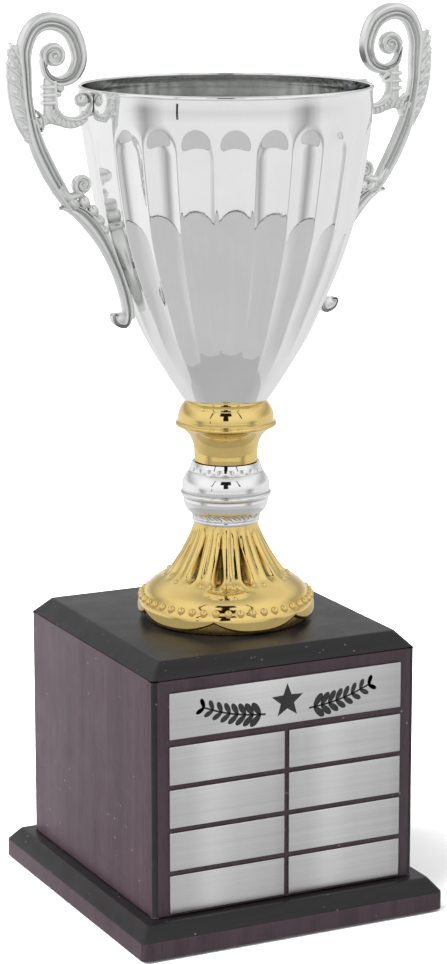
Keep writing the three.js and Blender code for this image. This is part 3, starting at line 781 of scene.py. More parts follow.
    def mirrored_table(self) -> None:
        """The near table top, its edge and a sheet on the block, as the metal mirrors them."""
        for name, reach, drop, near, side in (
            ("mirrored_table", self.table_reach, 0, self.table_grey, self.side_grey),
            ("mirrored_edge", self.table_reach + self.line_width, -0.001, 0.03, 0.8),
        ):
            bm = bmesh.new()
            bmesh.ops.create_circle(bm, cap_ends=True, segments=96, radius=reach)
            bmesh.ops.translate(bm, vec=(0, 0, drop), verts=bm.verts)
            self.staged(name, bm, self.glow(name.replace("mirrored_", "") + "_glow", near, side))
        low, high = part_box("top_board")
        foot_low, foot_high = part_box("foot")
        centre = (foot_low + foot_high) / 2
        inner = (foot_high.x - foot_low.x) / 2 + self.sheet_gap
        sheet = bmesh.new()
        ring = bmesh.ops.create_circle(sheet, segments=64, radius=inner)["verts"]
        bmesh.ops.translate(sheet, vec=(centre.x, centre.y, high.z + 0.0006), verts=ring)
        made = bmesh.ops.extrude_edge_only(sheet, edges=sheet.edges[:])["geom"]
        rim = [g for g in made if isinstance(g, BMVert)]
        spread = 0.75 * (high.x - low.x) / inner
        bmesh.ops.scale(sheet, vec=(spread, spread, 1), verts=rim, space=Matrix.Translation(-centre))
        sheet.normal_update()
        for face in sheet.faces:
            if face.normal.z < 0:
                face.normal_flip()
        self.staged("mirrored_sheet", sheet, self.glow("sheet_glow", 0.46, 0.60, from_above=True))

    def dark_stand(self) -> None:
        """A dark T-shaped stand over the lens and thin poles beside it, as bright metal mirrors them."""
        bm = bmesh.new()
        for aside, across, bottom, top in (
            (0, 17, 38, 54), (0, 6.5, 12, 39), (-40, 1.6, 22, 55), (40, 1.6, 22, 55), (-37, 0.8, -4, 9),
        ):
            self.dark_panel(bm, aside, across, bottom, top)
        self.staged("dark_stand", bm, self.glow("stand_shade", 0.012, 0.012))

    def dark_panel(self, bm: BMesh, aside: float, across: float, bottom: float, top: float) -> None:
        """Adds a dark panel that faces the trophy's middle.

        Args:
            bm: The body it joins.
            aside: Its turn from the lens, in degrees.
            across: Half its breadth, in degrees.
            bottom: Its lower edge's elevation, in degrees.
            top: Its upper edge's elevation.
        """
        front = self.front()
        base = math.atan2(front.y, front.x)
        for v in bmesh.ops.create_grid(bm, x_segments=4, y_segments=8, size=1)["verts"]:
            turn = base + math.radians(aside + across * v.co.x)
            rise = math.radians((bottom + top) / 2 + (top - bottom) / 2 * v.co.y)
            away = Vector((math.cos(turn) * math.cos(rise), math.sin(turn) * math.cos(rise), math.sin(rise)))
            v.co = away * self.panel_reach + Vector((0, 0, self.panel_base))

    def lamps(self) -> None:
        """Two broad soft lamps, a strong one from the left and a weaker one from the right."""
        for name, strength, spread, direction in (
            ("key", 8.5, 60, (0.95, 0.05, -0.85)),
            ("fill", 0.25, 90, (-0.8, 0.5, -0.6)),
        ):
            data = bpy.data.lights.new(name, "SUN")
            data.energy, data.angle = strength, math.radians(spread)
            made = bpy.data.objects.new(name, data)
            made.rotation_euler = Vector(direction).to_track_quat("-Z", "Y").to_euler()
            made.visible_glossy = False
            bpy.context.scene.collection.objects.link(made)


# ---------------------------------------------------------------- wooden base


@dataclass
class WoodBase:
    """Felt, plinth, hollow block and chamfered top board."""

    finishes: Finishes
    corner: float = 2.3 * MM
    soft_edge: float = 0.55 * MM
    wall: float = 12 * MM
    plinth_chamfer_out: float = 4.8 * MM
    plinth_chamfer_down: float = 5.9 * MM
    top_chamfer_out: float = 6.5 * MM
    top_chamfer_down: float = 6.9 * MM

    def build(self) -> None:
        """Makes every wooden piece and the felt."""
        self.felt()
        self.board("plinth_board", "plinth", self.plinth_chamfer_out, self.plinth_chamfer_down, Slot.ROSEWOOD)
        self.walls()
        self.board("top_slab", "top_board", self.top_chamfer_out, self.top_chamfer_down, Slot.LACQUER)

    def felt(self) -> None:
        """The felt under the plinth, with a soft edge."""
        low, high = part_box("base_felt")
        bm = block(low, high)
        rounded(bm, [e for e in bm.edges if upright(e)], self.corner, 4)
        rounded(bm, [e for e in bm.edges if all(abs(v.co.z - high.z) < TINY for v in e.verts)], 0.3 * MM, 2)
        piece("felt_pad", bm, [self.finishes.felt], ["base_felt"])

    def board(self, name: str, node: str, out: float, down: float, slot: Slot) -> None:
        """A board with rounded corners and a chamfered top edge.

        Args:
            name: The piece's name.
            node: The CAD node it stands for.
            out: How far the chamfer runs in.
            down: How far it runs down.
            slot: The slot of its finish.
        """
        low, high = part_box(node)
        low = low.copy()
        plain = slot is Slot.LACQUER
        if plain:
            low.z = high.z - down
        bm = block(low, high)
        if not plain:
            everything = bm.verts[:] + bm.edges[:] + bm.faces[:]
            bmesh.ops.bisect_plane(bm, geom=everything, plane_co=(0, 0, high.z - down), plane_no=(0, 0, 1))
        rounded(bm, [e for e in bm.edges if upright(e)], self.corner, 5)
        centre = (low + high) / 2
        top = [v for v in bm.verts if v.co.z > high.z - TINY]
        shrink = Vector((1 - 2 * out / (high.x - low.x), 1 - 2 * out / (high.y - low.y), 1))
        bmesh.ops.scale(bm, vec=shrink, verts=top, space=Matrix.Translation(-centre))
        level = [e for e in bm.edges if not upright(e) and abs(e.verts[0].co.z - e.verts[1].co.z) < 1e-7]
        rounded(bm, [e for e in level if e.calc_face_angle(0) > math.radians(20)], self.soft_edge, 3)
        for face in bm.faces:
            face.material_index = int(not plain and face.normal.z < 0.3)
        piece(name, bm, [self.finishes.lacquer, self.finishes.rosewood], [node], sharp=60)

    def walls(self) -> None:
        """The four walls of the block as one wrapped shell, with black rounded corners."""
        nodes = ["wall_front", "wall_right", "wall_back", "wall_left"]
        lows, highs = zip(*(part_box(node) for node in nodes))
        low, high = Vector(map(min, *lows)), Vector(map(max, *highs))
        bm = block(low, high)
        bmesh.ops.delete(bm, geom=[f for f in bm.faces if abs(f.normal.z) > 0.5], context="FACES_ONLY")
        rounded(bm, [e for e in bm.edges if upright(e)], self.corner, 5)
        bmesh.ops.recalc_face_normals(bm, faces=bm.faces)
        bmesh.ops.solidify(bm, geom=bm.faces[:], thickness=self.wall)
        centre, size = (low + high) / 2, high - low

        def outermost(edge: BMEdge) -> bool:
            at = edge.verts[0].co
            return max(abs(at.x - centre.x) / size.x, abs(at.y - centre.y) / size.y) > 0.47

        outer = [e for e in bm.edges if not upright(e) and e.calc_face_angle(0) > 1 and outermost(e)]
        rounded(bm, outer, self.soft_edge * 0.7, 2)
        for face in bm.faces:
            face.material_index = int(0.03 < abs(face.normal.x) < 0.97 and abs(face.normal.z) < 0.1)
        piece("block_shell", bm, [self.finishes.rosewood, self.finishes.lacquer], nodes, sharp=60)


@dataclass
class PlateSet:
    """Header plate with a plain ornament, and the name plates below it."""

    finishes: Finishes
    edge: float = 0.28 * MM
    corner: float = 0.4 * MM
    fill_height: float = 0.04 * MM
    star_reach: tuple[float, float] = (8.0, 3.4)
    sprig_line: tuple[tuple[float, float], ...] = ((10.5, -4.6), (20, -3.6), (30, -1.4), (41, 2.6))
    sprig_leaves: int = 9
    leaf_lean: float = 0.85

    def build(self) -> None:
        """Makes the nine plates and the ornament."""
        nodes = [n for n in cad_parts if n.startswith(("header_plate", "name_plate"))]
        for node in sorted(nodes):
            low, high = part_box(node)
            bm = block(low, high)
            rounded(bm, [e for e in bm.edges if abs(e.verts[0].co.y - e.verts[1].co.y) > TINY], self.corner, 3)
            rounded(bm, [e for e in bm.edges if all(v.co.y < low.y + 1e-7 for v in e.verts)], self.edge, 3)
            made = piece(node.replace("plate", "panel"), bm, [self.finishes.plate], [node], sharp=50)
            # 'across' places the plate finish's painted highlight band.
            store = made.data.attributes.new("across", "FLOAT", "POINT")
            for i, v in enumerate(made.data.vertices):
                store.data[i].value = (v.co.x - low.x) / (high.x - low.x)
        self.ornament()

    def ornament(self) -> None:
        """A five-pointed star between two leafy sprigs, as black engraving just proud of the header."""
        low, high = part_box("header_plate")
        centre = Vector(((low.x + high.x) / 2, low.y - 0.01 * MM, (low.z + high.z) / 2))
        angles = [math.pi / 2 + i * math.pi / 5 for i in range(10)]
        star = [(self.star_reach[i % 2] * math.cos(a), self.star_reach[i % 2] * math.sin(a)) for i, a in enumerate(angles)]
        bm = bmesh.new()
        for outline in (star, *self.sprig(-1), *self.sprig(1)):
            bm.faces.new([bm.verts.new(centre + Vector((x, 0, z)) * MM) for x, z in outline])
        bmesh.ops.recalc_face_normals(bm, faces=bm.faces)
        for face in bm.faces:
            if face.normal.y > 0:
                face.normal_flip()
        bmesh.ops.solidify(bm, geom=bm.faces[:], thickness=self.fill_height)
        bmesh.ops.recalc_face_normals(bm, faces=bm.faces)
        piece("header_ornament", bm, [self.finishes.engraved], sharp=30)

    def sprig(self, side: int) -> list[list[tuple[float, float]]]:
        """The outlines of one sprig's stem and leaves, as (across, up) in millimetres from the header's middle."""
        stem = flowing(self.sprig_line, 8)
        upper = [(side * p.x, p.y + 0.45) for p in stem]
        lower = [(side * p.x, p.y - 0.45) for p in reversed(stem)]
        outlines = [upper + lower]
        for i in range(self.sprig_leaves):
            at = stem[min(len(stem) - 2, 2 + i * 3)]
            ahead = stem[min(len(stem) - 1, 3 + i * 3)]
            size = 7.0 - 0.34 * i
            for lean in (-self.leaf_lean, self.leaf_lean):
                turn = math.atan2(ahead.y - at.y, ahead.x - at.x) + lean
                leaf = []
                for k in range(12):
                    t = k / 12 * FULL_TURN
                    along, out = size * (1 - math.cos(t)) / 2, 0.25 * size * math.sin(t) * (0.6 + 0.4 * math.sin(t / 2))
                    across = at.x + along * math.cos(turn) - out * math.sin(turn)
                    leaf.append((side * across, at.y + along * math.sin(turn) + out * math.cos(turn)))
                outlines.append(leaf)
        return outlines


# ---------------------------------------------------------------- stem


@dataclass
class Turned:
    """A hollow piece of the stem, turned round its own axis. Its sizes are in millimetres."""

    finishes: Finishes
    node: str = ""
    neck: float = 14.2
    widest: float = 20.0
    line: tuple[tuple[float, float], ...] = ()
    spacing: float = 0.4
    steps: int = 256
    roof: float = 2.2
    bore: float = 11.5

    def __post_init__(self) -> None:
        """Reads the piece's place from its solid, and draws its outer line from shares of its flare and height."""
        low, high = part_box(self.node)
        self.bottom, self.height = low.z / MM, (high.z - low.z) / MM
        self.top = self.bottom + self.height
        self.centre = middle(self.node)
        flare = self.widest - self.neck
        knots = [(self.neck + a * flare, self.bottom + b * self.height) for a, b in self.line]
        self.outer = even(flowing(knots, 8), self.spacing)

    def share(self, z: np.ndarray) -> np.ndarray:
        """Heights as shares of the piece's own height."""
        return (z - self.bottom) / self.height

    def spun(self, inside: Sequence[Vector] = ()) -> BMesh:
        """The turned body with its rod hole, hollow from below along some points or to a straight bore."""
        first, last = (inside[0].x, inside[-1].x) if inside else (self.bore, self.bore)
        roof = self.top - self.roof
        closing = [Vector(p) for p in ((ROD_HOLE, self.top), (ROD_HOLE, roof), (first, roof))]
        return spun([*self.outer, *closing, *inside, Vector((last, self.bottom))], self.centre, self.steps)


@dataclass
class Foot(Turned):
    """Gold foot: a bell with spear-shaped slots above a beaded dome with a petalled edge."""

    node: str = "foot"
    widest: float = 39.4
    line: tuple[tuple[float, float], ...] = (
        (0.84, 0.0), (0.84, 0.006), (0.90, 0.012), (0.965, 0.022), (0.988, 0.05), (1.0, 0.10), (0.997, 0.15),
        (0.975, 0.195), (0.925, 0.235), (0.895, 0.262), (0.86, 0.30), (0.79, 0.345), (0.68, 0.392), (0.56, 0.432),
        (0.47, 0.47), (0.39, 0.53), (0.31, 0.60), (0.235, 0.67), (0.16, 0.75), (0.09, 0.83), (0.03, 0.92), (0.0, 1.0),
    )
    spacing: float = 0.55
    steps: int = 528
    slots: int = 12
    phase: float = math.radians(-4)
    slot_depth: float = 2.2
    petal_rise: float = 4.6
    beads: int = 44
    bead_radius: float = 1.75
    boss_radius: float = 1.3
    shell: float = 3.2

    def radius_at(self, z: float | np.ndarray) -> float | np.ndarray:
        """The plain outside radius at a height, in millimetres."""
        return np.interp(z, [p.y for p in self.outer], [p.x for p in self.outer])

    def turns(self, angle: np.ndarray) -> np.ndarray:
        """How far round each angle is, counted in slots."""
        return (angle - self.phase) * self.slots / FULL_TURN

    def carve(self, angle: np.ndarray, radius: np.ndarray, z: np.ndarray) -> np.ndarray:
        """How far the skin moves for the slots, the ribs and the fine lines between them."""
        share = self.share(z)
        turn = self.turns(angle)
        away = np.abs(turn - np.round(turn))
        spear = (0.045 + 0.125 * smoothstep(0.84, 0.52, share)) * (0.25 + 0.75 * smoothstep(0.425, 0.50, share))
        groove = smoothstep(1.35, 0.45, away / spear) * within(share, (0.435, 0.465), (0.78, 0.93))
        body = within(share, (0.41, 0.46), (0.86, 1.0))
        rib = (-0.30 * np.cos(FULL_TURN * turn) - 0.30 * np.cos(2 * FULL_TURN * turn)) * body
        fine = 0.45 * np.exp(-(((away - 0.5) / 0.04) ** 2)) * smoothstep(0.50, 0.58, share)
        return np.where(radius > self.radius_at(z) - 0.5, rib - self.slot_depth * groove - fine * body, 0)

    def raise_petals(self, angle: np.ndarray, radius: np.ndarray, z: np.ndarray) -> np.ndarray:
        """How far the lower edge rises between the petals."""
        share = self.share(z)
        notch = (1 - np.abs(np.sin(math.pi * self.turns(angle) / 2))) ** 1.25
        return self.petal_rise * notch * smoothstep(0.20, 0.01, share) * (share > 0.003)

    def build(self) -> None:
        """Turns the foot, cuts its slots and petals, and sets its beads and bosses."""
        back = reversed(self.outer[::6])
        inner = [Vector((max(4.0, p.x - self.shell), p.y)) for p in back if self.bottom + 3 < p.y < self.top - 4]
        bm = self.spun(inner)
        pushed(bm, self.centre, self.carve, self.raise_petals)
        # Painted shade: the low faces just inside the petalled edge take the black lacquer, standing in for the shade
        # under the petals.
        shaded_riser = self.neck + 0.86 * (self.widest - self.neck)
        for face in bm.faces:
            at = face.calc_center_median()
            away = math.hypot(at.x - self.centre.x, at.y - self.centre.y) / MM
            low = at.z / MM < self.bottom + 0.16 * self.height
            face.material_index = int(low and shaded_riser - 6 < away < shaded_riser)
        studs = bmesh.new()
        self.studs(studs, self.beads, 0.0, 0.222, (0.95, 1.0, 1.15), self.bead_radius, 0)
        self.studs(studs, self.slots, self.phase + math.pi / self.slots, 0.437, (0.8, 1.0, 1.0), self.boss_radius, -42)
        joined(bm, studs)
        made = piece("gold_foot", bm, [self.finishes.gold, self.finishes.lacquer], ["foot"], sharp=60)
        mark_relief(made, 4.0)
        self.paint_slot_shade(made)

    def paint_slot_shade(self, made: Object) -> None:
        """Marks the depths of the slots as hollow, so that the finish's painted shade darkens them."""
        place = vertex_vectors(made.data, "co")
        x, y, z = place[:, 0] - self.centre.x, place[:, 1] - self.centre.y, place[:, 2] / MM
        turn = self.turns(np.arctan2(y, x))
        away = np.abs(turn - np.round(turn))
        share = self.share(z)
        # Painted shade: raises the 'recess' mask in the slot depths.
        deep = smoothstep(0.16, 0.06, away / (0.55 + 0.45 * smoothstep(0.84, 0.55, share)))
        deep *= within(share, (0.455, 0.49), (0.74, 0.84))
        sunk = smoothstep(0.5, 1.2, self.radius_at(z) - np.hypot(x, y) / MM)
        old = np.zeros(len(place), np.float32)
        store = made.data.attributes["recess"]
        store.data.foreach_get("value", old)
        store.data.foreach_set("value", np.maximum(old, deep * sunk).astype(np.float32))

    def studs(
        self, bm: BMesh, count: int, phase: float, share: float, shape: Sequence[float], size: float, lean: float
    ) -> None:
        """Sets a ring of rounded studs into the skin.

        Args:
            bm: The body they join.
            count: How many studs.
            phase: The first one's angle.
            share: Their height, as a share of the foot's.
            shape: Depth, breadth and height of one, as shares of its size.
            size: A stud's radius, in millimetres.
            lean: How far each leans back, in degrees.
        """
        z = self.bottom + share * self.height
        reach = float(self.radius_at(z)) - 0.25
        for i in range(count):
            a = phase + i / count * FULL_TURN
            at = self.centre + Vector((math.cos(a), math.sin(a), 0)) * reach * MM
            at.z = z * MM
            turn = Matrix.Rotation(a, 4, "Z") @ Matrix.Rotation(math.radians(lean), 4, "Y")
            added_ball(bm, Matrix.Translation(at) @ turn @ Matrix.Diagonal((*(size * k * MM for k in shape), 1)), 10, 16)


@dataclass
class Knop(Turned):
    """Silver knop with a raised ring and two decorated bands."""

    node: str = "knop"
    widest: float = 20.2
    line: tuple[tuple[float, float], ...] = (
        (0.12, 0.0), (0.16, 0.03), (0.12, 0.055), (0.16, 0.075), (0.22, 0.12), (0.34, 0.165), (0.54, 0.20),
        (0.70, 0.27), (0.78, 0.34), (0.79, 0.41), (0.80, 0.428), (0.93, 0.437), (1.0, 0.465), (0.98, 0.495),
        (0.86, 0.512), (0.88, 0.55), (0.88, 0.62), (0.80, 0.70), (0.62, 0.775), (0.42, 0.83), (0.34, 0.845),
        (0.33, 0.86), (0.30, 0.90), (0.22, 0.95), (0.12, 1.0),
    )
    spacing: float = 0.3
    steps: int = 288
    petals: int = 22
    dashes: int = 20

    def build(self) -> None:
        """Turns the knop and embosses its bands."""
        bm = self.spun()
        pushed(bm, self.centre, self.emboss)
        made = piece("silver_knop", bm, [self.finishes.relief_silver], ["knop"], sharp=50)
        mark_relief(made, 6.0)

    def emboss(self, angle: np.ndarray, radius: np.ndarray, z: np.ndarray) -> np.ndarray:
        """How far the skin moves for the scrolls of the lower band and the dashes of the upper one."""
        share = self.share(z)
        turn = angle * self.petals / FULL_TURN
        arch = 0.5 + 0.5 * np.cos(FULL_TURN * turn)
        scroll = np.abs(np.sin(FULL_TURN * turn + 9 * (share - 0.12) * 6)) * within(share, (0.07, 0.10), (0.15, 0.185))
        dash_turn = angle * self.dashes / FULL_TURN
        dash = np.exp(-(((dash_turn - np.round(dash_turn)) / 0.16) ** 2)) * within(share, (0.865, 0.88), (0.92, 0.94))
        return np.where(radius > self.bore + 1, -0.75 * (1 - arch * 0.55) * scroll - 0.6 * dash, 0)


@dataclass
class Collar(Turned):
    """Plain gold collar: a straight neck, a thin flange and a cushion under the cup."""

    node: str = "collar"
    widest: float = 22.4
    line: tuple[tuple[float, float], ...] = (
        (-0.03, 0.0), (-0.02, 0.06), (0.0, 0.18), (0.06, 0.30), (0.22, 0.41), (0.46, 0.50), (0.72, 0.563),
        (0.90, 0.590), (0.985, 0.600), (1.0, 0.622), (0.985, 0.645), (0.88, 0.662), (0.85, 0.685), (0.86, 0.75),
        (0.80, 0.835), (0.66, 0.92), (0.50, 0.975), (0.40, 1.0),
    )
    roof: float = 2.4
    bore: float = 11.6

    def build(self) -> None:
        """Turns the collar."""
        made = piece("gold_collar", self.spun(), [self.finishes.gold], ["collar"], sharp=60)
        mark_relief(made, 2.0)


# ---------------------------------------------------------------- cup


@dataclass
class Cup:
    """The fluted cup with its rolled rim. Its sizes are in millimetres."""

    finishes: Finishes
    neck: float = 18.4
    rim: float = 63.1
    wall: float = 1.3
    floor: float = 4.6
    bead: float = 0.95
    flutes: int = 24
    depth: float = 1.75
    per_flute: int = 16
    arch_top: float = 0.912
    arch_height: float = 0.062
    side: tuple[tuple[float, float], ...] = (
        (0.0, 0.0), (0.036, 0.017), (0.192, 0.095), (0.383, 0.199), (0.53, 0.302), (0.669, 0.406), (0.783, 0.507),
        (0.868, 0.608), (0.95, 0.76), (1.0, 0.882), (1.012, 0.947), (1.0, 1.0),
    )

    def __post_init__(self) -> None:
        """Reads the cup's place from its solid."""
        low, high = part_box("cup")
        self.bottom, self.height = low.z / MM, (high.z - low.z) / MM
        self.top = self.bottom + self.height
        self.centre = middle("cup")
        line = flowing(self.side, 12)
        self.line_share = np.array([p.y for p in line])
        self.line_radius = np.array([self.neck + p.x * (self.rim - self.neck) for p in line])

    def radius_at(self, z: float | np.ndarray) -> float | np.ndarray:
        """The outside radius on a ridge at a height, in millimetres."""
        return np.interp((z - self.bottom) / self.height, self.line_share, self.line_radius)

    def skin(self, inset: float, *spans: tuple[float, float, int]) -> list[Vector]:
        """Points a little inside the wall, at even shares of its height over each span."""
        heights = [self.bottom + s * self.height for s in np.concatenate([np.linspace(*span) for span in spans])]
        return [Vector((float(self.radius_at(z)) - inset, z)) for z in heights]

    def build(self) -> None:
        """Turns the cup and presses the flutes into it."""
        outer = self.skin(0, (0.0, 0.76, 64), (0.767, 0.93, 28), (0.94, 1 - 1.6 * self.bead / self.height, 5))
        inner = self.skin(self.wall, (0.965, 0.76, 22), (0.74, 0.06, 34))
        roll = []
        for k in range(9):
            a = math.radians(-50 + k * 35)
            roll.append(
                Vector((outer[-1].x - 0.15 + self.bead * math.cos(a), self.top - self.bead + self.bead * math.sin(a)))
            )
        floor_z = self.bottom + self.floor
        floor = [Vector((inner[-1].x - 2.5, floor_z + 0.6)), Vector((inner[-1].x - 6, floor_z))]
        hole = [Vector((ROD_HOLE, floor_z)), Vector((ROD_HOLE, self.bottom))]
        bm = spun([*outer, *roll, *inner, *floor, *hole], self.centre, self.flutes * self.per_flute)
        pushed(bm, self.centre, self.flute)
        # Inward faces below the rim take the darker inside finish: painted shade inside the bowl.
        for face in bm.faces:
            at = face.calc_center_median()
            out = Vector((at.x - self.centre.x, at.y - self.centre.y, 0))
            face.material_index = int(face.normal.dot(out.normalized()) < 0 and at.z < (self.top - 1.0) * MM)
        piece("silver_cup", bm, [self.finishes.silver, self.finishes.inside_shade], ["cup"], sharp=70)

    def flute(self, angle: np.ndarray, radius: np.ndarray, z: np.ndarray) -> np.ndarray:
        """How far each point of the wall moves for the flutes: hollow grooves with rounded tops."""
        share = (z - self.bottom) / self.height
        turn = angle * self.flutes / FULL_TURN
        across = np.clip(2 * np.abs(turn - 0.5 - np.round(turn - 0.5)) / 0.95, 0, 1)
        arch = self.arch_top - self.arch_height * (1 - np.sqrt(np.clip(1 - across**2, 0, 1)))
        ends = smoothstep(0.0, 0.075, arch - share) * smoothstep(0.06, 0.42, share)
        wall = radius > self.radius_at(z) - self.wall - 0.6
        return np.where(wall & (share > 0.045), -self.depth * (1 - across**2) ** 0.8 * ends, 0)


# ---------------------------------------------------------------- handles


@dataclass(frozen=True)
class Section:
    """The cut across a cast strip: points from one edge to the other, as (across, half thickness)."""

    points: tuple[tuple[float, float], ...]

    def ring(self) -> list[tuple[float, float]]:
        """The closed outline, front face first and then the back."""
        return [*self.points, *((a, -t) for a, t in reversed(self.points))]


def ridged(ridges: Sequence[tuple[float, float, float]], edge: float, count: int) -> Section:
    """A strip with ridges along it.

    Args:
        ridges: Place across, half width and height of each ridge, all as shares.
        edge: Thickness of the strip's base, as a share.
        count: Points from edge to edge.

    Returns:
        The section.
    """
    points = []
    for i in range(count):
        across = -1 + 2 * i / (count - 1)
        swell = max((h * max(0.0, 1 - ((across - c) / w) ** 2) ** 0.5 for c, w, h in ridges), default=0.0)
        points.append((across, max(edge * (1 - 0.55 * abs(across) ** 6), swell)))
    return Section(tuple(points))


STEM = ridged([(0.46, 0.50, 0.90), (-0.20, 0.15, 1.0), (-0.72, 0.28, 0.86)], 0.50, 27)
TAIL = ridged([(-0.36, 0.60, 0.92), (0.52, 0.17, 1.0), (0.88, 0.16, 0.72)], 0.42, 27)
ROUND = ridged([(0.0, 1.0, 1.0)], 0.30, 11)
FLAT = ridged([], 1.0, 9)


@dataclass
class Handle:
    """A scroll handle, drawn beside the cup's right side and turned for the left.

    Its lines are points by their distance beyond the rim and their height above it, in millimetres.
    """

    finishes: Finishes
    cup: Cup
    thickness: float = 6.3
    clearance: float = 0.3
    ribs: int = 9

    def from_rim(self, out: float, up: float) -> Vector:
        """A point by its distance beyond the rim and its height above it."""
        return Vector((self.cup.rim + out, self.cup.bottom + self.cup.height + up))

    def from_wall(self, out: float, up: float) -> Vector:
        """A point by its distance beyond the cup's wall at its own height."""
        z = self.cup.bottom + self.cup.height + up
        return Vector((float(self.cup.radius_at(z)) + out, z))

    def placed(self, point: Vector) -> Vector:
        """A point of the handle's plane in the trophy's frame."""
        return Vector((self.cup.centre.x + point.x * MM, self.cup.centre.y, point.y * MM))

    def frames(self, line: Sequence[Vector], width: Sequence[float], depth: Sequence[float]) -> list[Matrix]:
        """Where each cut across a strip sits, and how it is turned and scaled."""
        frames = []
        for i, at in enumerate(line):
            along = (line[min(i + 1, len(line) - 1)] - line[max(i - 1, 0)]).normalized()
            side = Vector((along.y, -along.x))
            columns = (
                Vector((side.x, 0, side.y)) * width[i] / 2 * MM,
                Vector((0, 1, 0)) * depth[i] * MM,
                Vector((along.x, 0, along.y)) * MM,
            )
            frames.append(Matrix.Translation(self.placed(at)) @ Matrix(columns).transposed().to_4x4())
        return frames

    def strip(
        self, bm: BMesh, points: Line, widths: Sequence[float], section: Section, thick: Sequence[float], step: float = 0.8
    ) -> None:
        """Draws a section along a smooth line.

        Args:
            bm: The body it joins.
            points: Points of the line in the handle's plane.
            widths: Widths at the points, in millimetres, or spread evenly if there are fewer.
            section: The cut across the strip.
            thick: Thickness shares spread evenly along the line.
            step: Distance between cuts, in millimetres.
        """
        line = even(flowing(points, 10), step)
        share = np.linspace(0, 1, len(line))
        width = np.interp(share, np.linspace(0, 1, len(widths)), widths)
        depth = np.interp(share, np.linspace(0, 1, len(thick)), thick) * self.thickness / 2
        frames = self.frames(line, width, depth)
        part = bmesh.new()
        ring = [part.verts.new(frames[0] @ Vector((a, t, 0))) for a, t in section.ring()]
        edges = [part.edges.new(pair) for pair in zip(ring, ring[1:] + ring[:1])]
        first = list(edges)
        for was, now in zip(frames, frames[1:]):
            made = bmesh.ops.extrude_edge_only(part, edges=edges)["geom"]
            verts = [g for g in made if isinstance(g, BMVert)]
            edges = [g for g in made if isinstance(g, BMEdge)]
            bmesh.ops.transform(part, matrix=now @ was.inverted(), verts=verts)
        bmesh.ops.edgeloop_fill(part, edges=first)
        bmesh.ops.edgeloop_fill(part, edges=edges)
        joined(bm, part)

    def rim_strip(
        self, bm: BMesh, points: Line, widths: Sequence[float], section: Section, thick: Sequence[float], step: float = 0.8
    ) -> None:
        """Draws a strip whose points are given from the rim."""
        self.strip(bm, [self.from_rim(*p) for p in points], widths, section, thick, step)

    def lump(self, bm: BMesh, at: Vector, along: float, across: float, thick: float, turn: float = 0) -> None:
        """Adds a rounded lump.

        Args:
            bm: The body it joins.
            at: Its middle in the handle's plane.
            along: Half its length, in millimetres.
            across: Half its width.
            thick: Half its thickness.
            turn: Its turn in the handle's plane, in degrees from outwards to upwards.
        """
        place = Matrix.Translation(self.placed(at)) @ Matrix.Rotation(math.radians(-turn), 4, "Y")
        part = bmesh.new()
        added_ball(part, place @ Matrix.Diagonal((along * MM, thick * MM, across * MM, 1)), 16, 24)
        joined(bm, part)

    def spiral(
        self, bm: BMesh, centre: Vector, start: float, turns: float, reach: Sequence[float],
        widths: Sequence[float], thick: Sequence[float],
    ) -> None:
        """Adds a round strip that winds inwards.

        Args:
            bm: The body it joins.
            centre: The spiral's middle in the handle's plane.
            start: The angle where it starts, in degrees.
            turns: How many turns it makes.
            reach: Its first and last radius.
            widths: Widths along it.
            thick: Thickness shares along it.
        """
        count = max(6, round(abs(turns) * 12))
        points = []
        for i in range(count + 1):
            t = i / count
            angle = math.radians(start) + FULL_TURN * turns * t
            points.append(centre + Vector((math.cos(angle), math.sin(angle))) * (reach[0] + (reach[1] - reach[0]) * t))
        self.strip(bm, points, widths, ROUND, thick, 0.6)

    def crook(self, bm: BMesh) -> None:
        """The stem, the big scroll and the eye that it winds into."""
        line = [
            (9.6, -50.0), (12.0, -46.8), (15.4, -41.5), (20.6, -32.5), (26.0, -20.5), (29.4, -6), (30.5, 8), (30.7, 18),
            (26.3, 26.5), (18.2, 28.95), (9.6, 24.8), (5.6, 14.4), (8.2, 6.6), (14.4, 3.8), (20.2, 6.2), (22.4, 12.2),
            (21.6, 16.0),
        ]
        widths = [4.6, 6.4, 7.2, 7.2, 6.6, 5.2, 4.8, 5.8, 7.2, 7.2, 7.6, 7.8, 7.4, 6.6, 4.8, 3.2, 1.0]
        self.rim_strip(bm, line, widths, STEM, [0.92, 1, 1, 1, 1, 0.95, 0.88])
        eye = self.from_rim(17.2, 14.4)
        self.spiral(bm, eye, -48, 1.62, (5.3, 1.4), [0.8, 3.0, 3.0, 2.7, 2.5, 2.2, 1.8, 1.4], [0.86, 0.84, 0.82, 0.84])
        self.lump(bm, eye, 4.4, 4.4, 1.5)
        self.lump(bm, eye, 1.5, 1.5, 2.8)

